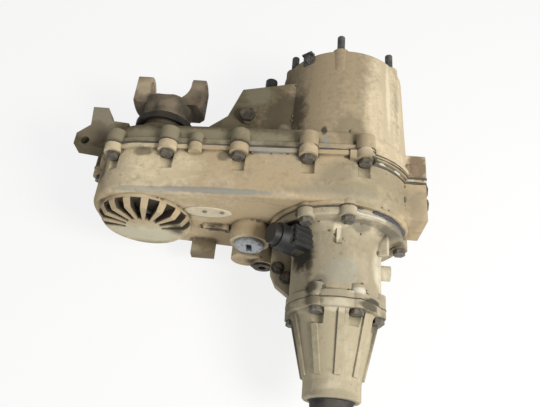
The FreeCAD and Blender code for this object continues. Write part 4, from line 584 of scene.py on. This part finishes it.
# %% All the steels
yoke_steel = rusted(
    "rusted_forging",
    stains_and_painted_light=marks(
        "front_yoke",
        ((0.12, 0.85, 0.7), (20, 34, 60), (0.52, 0.42, 0.285), 0.9),
        ((0.85, 0.9, 0.7), (18, 22, 60), (0.36, 0.29, 0.2), 0.8),
        ((0.8, 0.35, 0.8), (16, 12, 30), (0.03, 0.024, 0.017), 0.85),
        ((0.48, 0.35, 0.8), (34, 26, 34), (0.06, 0.05, 0.035), 0.85),
    ))
lever_steel = rusted("rusted_lever", skin=(0.14, 0.11, 0.08))
ring_steel = rusted("oily_thrower", skin=(0.014, 0.012, 0.0095), rust=(0.028, 0.021, 0.015),
                    dust=(0.05, 0.04, 0.028))
bolt_steel = plated("plated_fastener")
stud_steel = plated("oily_stud", metal=(0.14, 0.145, 0.15), dirt=0.8, threads=200.0)
dark_steel = plated("mud_caked_plug", metal=(0.085, 0.075, 0.055), dirt=0.8)
plug_steel = plated("zinc_plug", metal=(0.42, 0.44, 0.46), oil=(0.1, 0.1, 0.11), dirt=0.45)
inner_steel = turned("oiled_steel")
bronze = turned("bronze_bush", metal=(0.62, 0.4, 0.18), roughness=0.35)
print("steel finishes:", yoke_steel.name, bolt_steel.name, inner_steel.name)

# %% [markdown]
# ## Rubber, plastic, sealant and dried mud
# Seals and the wiring plug are black, but never a pure black: dust greys the tops, and moulded
# plastic keeps a faint sheen. Sealant that squeezed out of a joint is blue black and skinned over.
# Dried mud is the duller brown of the corners that it sits in. One function serves them all,
# since they differ in colour, dust and grain alone.


# %% Dark finishes
def black(name, base_colour, dust_share, roughness, skin, dust=(0.3, 0.26, 0.2)):
    """A dull dark stuff with dust on its upper sides; skin is the scale of its grain."""
    finish = Finish(name)
    clouds = finish.noise(70, 4, warp=0.3)
    lying = finish.step(finish.facing("Z"), 0.0, 0.9) * finish.step(clouds, 0.35, 0.65)
    base = finish.mix(base_colour, dust, lying * dust_share)
    worn = finish.edge(0.0008)
    base = finish.mix(base, (0.16, 0.15, 0.14), worn * 0.4)
    finish.set(Base_Color=base, Roughness=roughness + clouds * 0.2)
    return finish.bumps((finish.noise(skin, 3), 0.3, 0.0004), soften=0.0006)


rubber = black("black_seal_rubber", (0.016, 0.016, 0.016), 0.2, 0.6, 700)
plastic = black("black_moulded_plastic", (0.012, 0.013, 0.014), 0.07, 0.4, 1400)
sealant = black("blue_black_sealant", (0.045, 0.052, 0.07), 0.25, 0.4, 260)
old_sealant = black("brown_black_sealant", (0.05, 0.042, 0.03), 0.3, 0.55, 260)
# Chalky sealant; the same pale stuff also paints a highlight at the retainer.
pale_sealant_and_highlight = black("chalky_sealant_and_highlight", (0.55, 0.53, 0.46), 0.3, 0.6, 260, (0.3, 0.25, 0.17))
mud = black("dried_mud", (0.13, 0.1, 0.065), 0.5, 0.85, 400, (0.33, 0.26, 0.165))
print("dark finishes:", rubber.name, plastic.name, sealant.name, mud.name)

# %% [markdown]
# ## Which piece has which finish
# A finish belongs to how a piece was made, so the list goes by making: castings, forgings,
# plated fasteners, oiled steel, rubber, plastic. Anything not named is oiled steel, which is what
# nearly everything inside the box is.

# %% Assign the finishes
FINISHES = {
    "front_case": front_metal, "rear_case": rear_metal, "rear_retainer": tail_metal,
    "tail_housing": end_metal, "oil_pump": rear_metal,
    "front_yoke": yoke_steel, "slinger_ring": ring_steel, "shift_lever": lever_steel,
    "range_fork": yoke_steel, "mode_fork": yoke_steel,
    "case_bolts": bolt_steel, "retainer_bolts": bolt_steel, "tail_bolts": bolt_steel,
    "pad_bolts": stud_steel, "adapter_studs": stud_steel, "yoke_nut": bolt_steel,
    "fill_plug": plug_steel, "drain_plug": dark_steel, "detent_plug": dark_steel,
    "vent": bolt_steel, "shift_shaft": bolt_steel,
    "input_seal": rubber, "front_output_seal": rubber, "tail_seal": rubber, "shift_seal": rubber,
    "speed_sensor": plastic, "mode_switch": plastic, "oil_screen": plastic,
    "tail_bushing": bronze,
}
for name, item in NODES.items():
    item.data.materials.clear()
    item.data.materials.append(FINISHES.get(name, inner_steel))
print("named finishes:", len(FINISHES), "oiled steel:", len(NODES) - len(FINISHES))

# %% [markdown]
# ## Sealant beads
# The joints between the castings are sealed with paste, and what squeezed out has set as a bead.
# Its path is the outline of the casting itself: a cut through the mesh just beside the joint
# gives closed loops, and the longest is the outside. A drawn curve would have to be drawn again
# after every change to the casting, and this loop follows by itself.


# %% A casting's outline
def outline(name, station):
    """The outside loop of a node, cut across at a station, as points one after the other."""
    form = bmesh.new()
    form.from_mesh(NODES[name].data)
    bmesh.ops.remove_doubles(form, verts=form.verts[:], dist=1e-6)
    parts = form.verts[:] + form.edges[:] + form.faces[:]
    cut = bmesh.ops.bisect_plane(form, geom=parts, plane_co=(0, station, 0), plane_no=(0, 1, 0))
    edges = [piece for piece in cut["geom_cut"] if isinstance(piece, bmesh.types.BMEdge)]
    beside = {}
    for edge in edges:
        first, second = edge.verts
        beside.setdefault(first, []).append(second)
        beside.setdefault(second, []).append(first)
    loops, seen = [], set()
    for begin in beside:
        if begin in seen:
            continue
        loop, here = [], begin
        while here is not None:
            seen.add(here)
            loop.append(here.co.copy())
            here = next((other for other in beside[here] if other not in seen), None)
        loops.append(loop)
    form.free()
    return max(loops, key=lambda loop: sum((a - b).length for a, b in zip(loop, loop[1:])))


def even_steps(loop, step):
    """Points at equal steps along a closed loop."""
    closed, points, left = loop + loop[:1], [], 0.0
    for first, second in zip(closed, closed[1:]):
        side = (second - first).length
        while side > 1e-9 and left < side:
            points.append(first.lerp(second, left / side))
            left += step
        left -= side
    return points


def runs(points, wanted):
    """The stretches of a loop whose points are wanted."""
    stretches, now = [], []
    for point in points:
        if wanted(point):
            now.append(point)
        elif now:
            stretches.append(now)
            now = []
    return [stretch for stretch in stretches + [now] if len(stretch) > 3]


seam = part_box("front_case")[0].y
print("points round the case beside its seam:", len(outline("rear_case", seam - 0.0006)))

# %% [markdown]
# ## Rings of vertices
# A bead, a rivet and a bolt's head are all stacks of rings: circles of vertices, each joined to
# the next by a band of faces. So there is one helper for a ring and one for a band. A bead is a
# tube along its loop whose radius wanders, because paste does.


# %% Rings and tubes
def ring(form, sides, centre, across, up, size=1.0):
    """Vertices round a circle or an ellipse, from its centre and two vectors in its plane."""
    turns = [2 * math.pi * side / sides for side in range(sides)]
    return [form.verts.new(centre + size * (math.cos(turn) * across + math.sin(turn) * up))
            for turn in turns]


def band(form, first, second):
    """Faces between two rings of as many vertices."""
    for side in range(len(first)):
        form.faces.new((first[side - 1], first[side], second[side], second[side - 1]))


def tube(form, path, radius, chance, sides=7):
    """A wandering tube along an open path."""
    rings, wander = [], 1.0
    for count, here in enumerate(path):
        before, after = path[max(count - 1, 0)], path[min(count + 1, len(path) - 1)]
        along = (after - before).normalized()
        across = FORWARD.cross(along)
        wander = min(1.5, max(0.45, wander + chance.uniform(-0.16, 0.16)))
        shrink = 0.2 if count in (0, len(path) - 1) else 1.0
        rings.append(ring(form, sides, here, across, FORWARD, radius * wander * shrink))
    for first, second in zip(rings, rings[1:]):
        band(form, second, first)
    for end in (rings[0], rings[-1]):
        form.faces.new(end)


# %% [markdown]
# ## From mesh code to a piece
# Every piece that this script adds is mesh code, because a mesh worked out from numbers can follow
# the sizes of the solids. Each rides on a body, so that it goes where the body goes, and takes one
# of the finishes above. Here all of them ride on the case.


# %% Adding a piece
def add_piece(name, form, material, body="case", smooth=True):
    """Turn mesh code into an object that rides on a body."""
    bmesh.ops.recalc_face_normals(form, faces=form.faces[:])
    mesh = bpy.data.meshes.new(name)
    form.to_mesh(mesh)
    form.free()
    mesh.materials.append(material)
    for face in mesh.polygons:
        face.use_smooth = smooth
    item = bpy.data.objects.new(name, mesh)
    bpy.context.scene.collection.objects.link(item)
    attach(item, body)
    return item


# %% [markdown]
# ## Beads at four joints
# The seam between the two halves weeps all the way round, and on the right it was smeared in
# three more lines, one of them chalky. The retainer sits in a thick blue black bead at the top
# right, with a short pale bead behind it that is a painted highlight along the flange's edge, and
# in a thin brown one elsewhere. A bead is laid where a test on its points says so, and never past
# the top or bottom of the solids, so that the dressed part keeps its height.


# %% Laying a bead
BEAD_STEP = 0.0022
# A bead's middle keeps this many radii inside the top and bottom of the solids.
CLEARANCE = 1.3


def bead(name, node, station, radius, material, wanted, seed):
    """Sealant along a node's outline at a station, where its points pass a test."""
    chance = random.Random(seed)
    form = bmesh.new()
    count = 0
    lowest, highest = cad_low.z + CLEARANCE * radius, cad_high.z - CLEARANCE * radius
    for stretch in runs(even_steps(outline(node, station), BEAD_STEP),
                        lambda point: wanted(point) and lowest < point.z < highest):
        tube(form, stretch, radius, chance)
        count += len(stretch)
    add_piece(name, form, material)
    print(name, "points:", count)


# %% The four joints
def all_round(point):
    """Every point of a loop."""
    return True


def right_above(across, up):
    """A test for points to the right of and above two limits in metres."""
    return lambda point: point.x > across and point.z > up


def broken(point):
    """Right and above, with gaps, where dried paste has flaked off."""
    return right_above(0.03, 0.034)(point) and math.sin(330 * point.x) > -0.3


def top_right(point):
    """A short stretch over the barrel."""
    return 0.012 < point.x < 0.05 and point.z > 0.03


def left_or_under(point):
    """All but the top right."""
    return point.x < 0.024 or point.z < 0.0


# The retainer's spigot goes this far into the case, so its box starts ahead of the joint.
SPIGOT = 0.0107
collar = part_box("rear_retainer")[1].y - SPIGOT
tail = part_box("tail_housing")[1].y
bead("seam_bead", "rear_case", seam - 0.0006, 0.0009, old_sealant, all_round, 3)
bead("seam_bead_right", "rear_case", seam - 0.0045, 0.0013, old_sealant,
     right_above(0.024, 0.034), 4)
bead("seam_bead_low", "rear_case", seam - 0.0115, 0.0013, old_sealant,
     right_above(0.026, 0.034), 5)
bead("seam_bead_white", "rear_case", seam - 0.008, 0.0016, pale_sealant_and_highlight, broken, 6)
bead("collar_bead", "rear_retainer", collar - 0.0012, 0.0036, sealant, right_above(0.03, 0.02), 7)
# A pale bead that is a painted highlight along the retainer flange's edge.
bead("collar_highlight_bead", "rear_retainer", collar - 0.0064, 0.0016, pale_sealant_and_highlight, top_right, 10)
bead("collar_bead_thin", "rear_retainer", collar, 0.0011, old_sealant, left_or_under, 8)
bead("tail_bead", "rear_retainer", tail + 0.0006, 0.0008, old_sealant, all_round, 9)

# %% [markdown]
# ## A bare tag
# A thin oval tag sits on the rear wall, held by two rivets. It is blank, and years of dust have
# turned it cream. Its face is dished a little, so that it catches light unevenly, which a flat
# disc with a bump wouldn't do at its rim. The rivets are the same plate, small and thick.


# %% The tag
TAG_HALF_WIDTH, TAG_HALF_HEIGHT, TAG_THICK = 0.029, 0.0135, 0.0009
TAG_STANDOFF = 0.0078
# The middle of a plate rises by this share of its thickness, and its back lies this many
# thicknesses behind its rim.
DISH, BACK = 0.7, 1.6


def oval_plate(centre, half_width, half_height, thick, steps=5, sides=40):
    """A dished oval plate that faces backwards, in rings round its middle."""
    form = bmesh.new()
    middle = form.verts.new(centre - DISH * thick * FORWARD)
    last = None
    for count in range(1, steps + 1):
        share = count / steps
        rise = thick * (DISH + (1 - DISH) * share ** 2)
        here = ring(form, sides, centre - rise * FORWARD, half_width * RIGHT, half_height * UP,
                    share)
        if last:
            band(form, last, here)
        else:
            for side in range(sides):
                form.faces.new((middle, here[side], here[side - 1]))
        last = here
    under = [form.verts.new(vertex.co + BACK * thick * FORWARD) for vertex in last]
    band(form, last, under)
    form.faces.new(under)
    return form


tag_centre = spot("rear_case", 0.382, 0.0, 0.66)
tag_centre.y = spot("fill_plug", 0, 1, 0).y + TAG_STANDOFF
tag_finish = casting("bare_tag", film=(0.62, 0.55, 0.4), pale=(0.74, 0.67, 0.5),
                     shade=(0.45, 0.37, 0.25), grime_and_shade_share=0.5)
add_piece("bare_tag", oval_plate(tag_centre, TAG_HALF_WIDTH, TAG_HALF_HEIGHT, TAG_THICK),
          tag_finish)
for share, name in ((-0.1, "tag_rivet_left"), (0.62, "tag_rivet_right")):
    rivet = tag_centre + Vector((share * TAG_HALF_WIDTH, -TAG_THICK, 0.2 * TAG_HALF_HEIGHT))
    add_piece(name, oval_plate(rivet, 0.0024, 0.0022, 0.0011, 3, 14), bolt_steel)
print("tag at", [round(1000 * value, 1) for value in tag_centre])

# %% [markdown]
# ## The wiring plug on the speed sensor
# The sensor's solid carries a moulded plug: a shell with ribs round it, a latch on its back and a
# boot where the wires left. Moulded plastic has no sharp edges, so every part of it is a block
# with rounded ones. It is one piece of mesh code, built in its own axes and then turned to the
# sensor's direction.


# %% Rounded blocks
def rounded_block(form, low, high, round_off, turn):
    """A block with rounded edges, made in local axes and put in place by a matrix."""
    made = bmesh.ops.create_cube(form, size=1)["verts"]
    low, high = Vector(low), Vector(high)
    for vertex in made:
        vertex.co = Vector([low[k] + (vertex.co[k] + 0.5) * (high[k] - low[k]) for k in range(3)])
    edges = list({edge for vertex in made for edge in vertex.link_edges})
    bevelled = bmesh.ops.bevel(form, geom=edges, offset=round_off, segments=3, profile=0.6,
                               affect="EDGES")
    touched = {vertex for face in bevelled["faces"] for vertex in face.verts}
    bmesh.ops.transform(form, matrix=turn, verts=list(touched))


def turned_to(middle, across, along, up):
    """The matrix that puts local axes at a place, along three directions."""
    return Matrix.Translation(middle) @ Matrix((across, along, up)).transposed().to_4x4()


# %% The wiring plug
# From the corner of the sensor's box to the middle of its head, and from the shaft to the plug.
HEAD_ACROSS, HEAD_ALONG, HEAD_UP = 0.017, 0.012, 0.014
PLUG_REACH = 0.058
# The first rib and the step to the next, along the plug, and the thickness of a rib.
RIB_START, RIB_STEP, RIB_THICK = -0.014, 0.0065, 0.0022

sensor_low, sensor_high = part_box("speed_sensor")
out = Vector((sensor_low.x + HEAD_ACROSS, 0, sensor_high.z - HEAD_UP)).normalized()
plug_turn = turned_to(PLUG_REACH * out + (sensor_low.y + HEAD_ALONG) * FORWARD,
                      out.cross(-FORWARD), out, -FORWARD)
shell = ((-0.017, -0.012, -0.018), (0.017, 0.016, 0.01), 0.004)
boot = ((-0.0125, 0.0155, -0.013), (0.0125, 0.0195, 0.006), 0.0015)
shelves = [RIB_START + RIB_STEP * count for count in range(4)]
ribs = [((-0.0185, -0.01, shelf), (0.0185, 0.0172, shelf + RIB_THICK), 0.0009)
        for shelf in shelves]
latch = ((-0.006, 0.0165, 0.003), (0.006, 0.023, 0.0085), 0.0015)
form = bmesh.new()
for low, high, round_off in (shell, boot, *ribs, latch):
    rounded_block(form, low, high, round_off, plug_turn)
add_piece("wiring_plug", form, plastic, smooth=False)
print("wiring plug at", [round(1000 * value) for value in plug_turn.translation])

# %% [markdown]
# ## Two bolts in the web
# The web left of the barrel carries a bracket's two bolts. Each is a washer face with a hex head
# on it, in six rings: three of twenty sides for the flange, and three of six sides for the head,
# whose last ring is smaller, as the corners of a real head are turned off.


# %% Hex heads
def hex_bolt(form, foot, axis, half_flats, tall):
    """A flanged hex head that stands on a foot point along an axis."""
    across, up, outward = axis.to_track_quat("Z", "Y").to_matrix().transposed()
    # Sides, width as a share of half the flats, and height as a share of the whole.
    layers = ((20, 1.45, 0.0), (20, 1.45, 0.16), (20, 1.2, 0.3),
              (6, 1.12, 0.3), (6, 1.15, 0.85), (6, 0.92, 1.0))
    rings = [ring(form, sides, foot + tall * high * outward, across, up, half_flats * wide)
             for sides, wide, high in layers]
    for first, second in ((0, 1), (1, 2), (3, 4), (4, 5)):
        band(form, rings[first], rings[second])
    for end in (rings[0], rings[2], rings[5]):
        form.faces.new(end)


web_top = spot("rear_retainer", 0, 0, 0.4186).z
form = bmesh.new()
for across, along in ((0.06, 0.514), (0.127, 0.402)):
    foot = spot("rear_retainer", across, along, 0)
    foot.z = web_top
    hex_bolt(form, foot, UP, 0.0055, 0.0065)
add_piece("web_bolts", form, dark_steel, smooth=False)
print("web bolts on z =", round(1000 * web_top, 1), "mm")

# %% [markdown]
# ## A pipe clip
# A steel clip for the vent pipe sits on the front left edge of the drum: a folded strap with one
# more bolt. Two rounded blocks make the fold, which looks the same as bent sheet at this size.

# %% The clip
clip_middle = spot("front_case", 0.652, 0.975, 0.835)
clip_out = Vector((clip_middle.x, 0, clip_middle.z)).normalized()
clip_turn = turned_to(clip_middle, FORWARD.cross(clip_out), FORWARD, clip_out)
form = bmesh.new()
rounded_block(form, (-0.008, -0.011, -0.001), (0.008, 0.004, 0.002), 0.0008, clip_turn)
rounded_block(form, (-0.0075, 0.0015, -0.001), (0.0075, 0.004, 0.007), 0.0008, clip_turn)
hex_bolt(form, clip_turn @ Vector((0, -0.004, 0.0018)), clip_out, 0.0046, 0.0055)
add_piece("pipe_clip", form, stud_steel, smooth=False)
print("clip at", [round(1000 * value) for value in clip_middle])

# %% [markdown]
# ## Dried mud in the corners
# Mud dries as crumbs in inward corners. The meshes say where those are: an edge whose two faces
# turn towards each other is an inward corner. Crumbs go at random places along such edges, but
# only where the sky can be seen from the spot, because the rest is inside the box.


# %% Mud crumbs
# Mud holds in corners that bend by more than this angle, on edges longer than this.
CORNER_ANGLE, CORNER_LENGTH = 0.5, 0.002


def crumbs(name, nodes_used, wanted, seed, smallest, largest):
    """Crumbs of mud in the open corners of some nodes, as one piece."""
    chance = random.Random(seed)
    form = bmesh.new()
    placed = 0
    for node_name in nodes_used:
        source = bmesh.new()
        source.from_mesh(NODES[node_name].data)
        bmesh.ops.remove_doubles(source, verts=source.verts[:], dist=1e-6)
        tree = BVHTree.FromBMesh(source)
        corners = [edge for edge in source.edges
                   if len(edge.link_faces) == 2 and not edge.is_convex
                   and edge.calc_face_angle(0) > CORNER_ANGLE
                   and edge.calc_length() > CORNER_LENGTH]
        weights = [edge.calc_length() for edge in corners]
        for _ in range(6 * wanted):
            if placed >= wanted * (1 + nodes_used.index(node_name)):
                break
            edge = chance.choices(corners, weights)[0]
            place = edge.verts[0].co.lerp(edge.verts[1].co, chance.random())
            outward = (edge.link_faces[0].normal + edge.link_faces[1].normal).normalized()
            if tree.ray_cast(place + 0.002 * outward, outward, 0.25)[0]:
                continue
            size = chance.uniform(smallest, largest)
            lump = bmesh.ops.create_icosphere(form, subdivisions=2, radius=size)["verts"]
            stretch = Vector([chance.uniform(*limits)
                              for limits in ((0.7, 1.8), (0.7, 1.8), (0.5, 1.1))])
            for vertex in lump:
                vertex.co = vertex.co * stretch * chance.uniform(0.75, 1.2)
                vertex.co += place + 0.3 * size * outward
            placed += 1
        source.free()
    add_piece(name, form, mud)
    print(name, "crumbs:", placed)


crumbs("dried_mud", ("rear_case", "rear_retainer", "front_case"), 90, 21, 0.0007, 0.0021)

# %% [markdown]
# ## The floor
# The case lies on a pale floor that runs out of sight. A lit floor alone would be grey, and more
# light to whiten it would bleach the case. So the floor mixes a plain white glow into its lit
# surface, for the camera and for reflections only, and what stays of the lit part keeps the shadow.

# %% Floor
FLOOR_SIDE = 12.0
floor_mesh = bpy.data.meshes.new("floor")
form = bmesh.new()
bmesh.ops.create_grid(form, x_segments=4, y_segments=4, size=FLOOR_SIDE / 2)
form.to_mesh(floor_mesh)
form.free()
floor = bpy.data.objects.new("floor", floor_mesh)
floor.location.z = cad_low.z
bpy.context.scene.collection.objects.link(floor)
floor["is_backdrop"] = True
print("floor at", round(floor.location.z * 1000, 1), "mm")


# %% The floor's finish
GLOW_SHARE = 0.82


def white_floor():
    """A lit floor with a white glow in it, seen by the camera and in reflections."""
    finish = Finish("pale_floor", roughness=0.9)
    clouds = finish.noise(2.0, 3)
    finish.set(Base_Color=finish.mix((0.86, 0.86, 0.85), (0.9, 0.9, 0.89), clouds))
    lit = Flow(finish, finish.shader.outputs[0])
    glow = finish.node("ShaderNodeEmission")
    direct = finish.node("ShaderNodeLightPath", output="Is Camera Ray")
    mirrored = finish.node("ShaderNodeLightPath", output="Is Glossy Ray")
    share = (direct + mirrored) * GLOW_SHARE
    both = finish.node("ShaderNodeMixShader", None, {0: share, 1: lit, 2: glow})
    finish.feed(finish.tree.nodes["Material Output"].inputs["Surface"], both)
    return finish.material


floor_mesh.materials.append(white_floor())
print("floor finish:", floor_mesh.materials[0].name)

# %% [markdown]
# ## World and lamps
# Soft light comes from all sides, from a dim white world that still shows as full white behind
# the case. One large lamp stands high on the right and shapes the castings, and a weaker, larger
# one fills the left. Large discs make soft shadows, as a cloudy sky or a window would.


# %% World and lamps
WORLD_LIGHT, WORLD_SEEN = 0.36, 1.0


def lamp(name, place, target, side, power, colour):
    """A round area lamp that looks at a target."""
    light = bpy.data.lights.new(name, "AREA")
    light.shape, light.size, light.energy, light.color = "DISK", side, power, colour
    item = bpy.data.objects.new(name, light)
    item.location = place
    item.rotation_euler = (target - place).to_track_quat("-Z", "Y").to_euler()
    bpy.context.scene.collection.objects.link(item)
    return item


world = bpy.data.worlds.new("soft_white_room")
bpy.context.scene.world = world
world.use_nodes = True
room = Sheet(world.node_tree)
backdrop = room.tree.nodes["Background"]
direct = room.node("ShaderNodeLightPath", output="Is Camera Ray")
strength = room.node("ShaderNodeMapRange", None,
                     {"Value": direct, "To Min": WORLD_LIGHT, "To Max": WORLD_SEEN})
room.feed(backdrop.inputs["Color"], (1, 1, 1))
room.feed(backdrop.inputs["Strength"], strength)
middle = (cad_low + cad_high) / 2
key = lamp("key_lamp", middle + Vector((0.85, -0.5, 0.95)), middle, 0.5, 17, (1.0, 0.975, 0.93))
fill = lamp("fill_lamp", middle + Vector((-0.7, -0.9, 0.6)), middle, 1.2, 2.0, (0.94, 0.97, 1.0))
print("lamps:", key.data.energy, "W and", fill.data.energy, "W")

# %% [markdown]
# ## The camera
# The camera looks down over the tail, as someone would who leans over a bench, a little askew.
# It is placed by where it stands and what it looks at, and turned by its roll last, which is
# easier to change than three angles at once.

# %% Camera
EYE = Vector((-0.0537, -0.5203, 0.6120))
LOOK_AT = Vector((-0.0855, -0.1895, 0.0))
ROLL = math.radians(-0.5)
LENS, SENSOR = 36.67, 36.0
camera_data = bpy.data.cameras.new("camera")
camera_data.lens, camera_data.sensor_width = LENS, SENSOR
camera = bpy.data.objects.new("camera", camera_data)
aim = (LOOK_AT - EYE).to_track_quat("-Z", "Y").to_matrix().to_4x4()
camera.matrix_world = Matrix.Translation(EYE) @ aim @ Matrix.Rotation(ROLL, 4, "Z")
bpy.context.scene.collection.objects.link(camera)
bpy.context.scene.camera = camera
bpy.context.scene.view_settings.view_transform = "Standard"
print("camera", round((EYE - middle).length, 3), "m from the middle of the case")
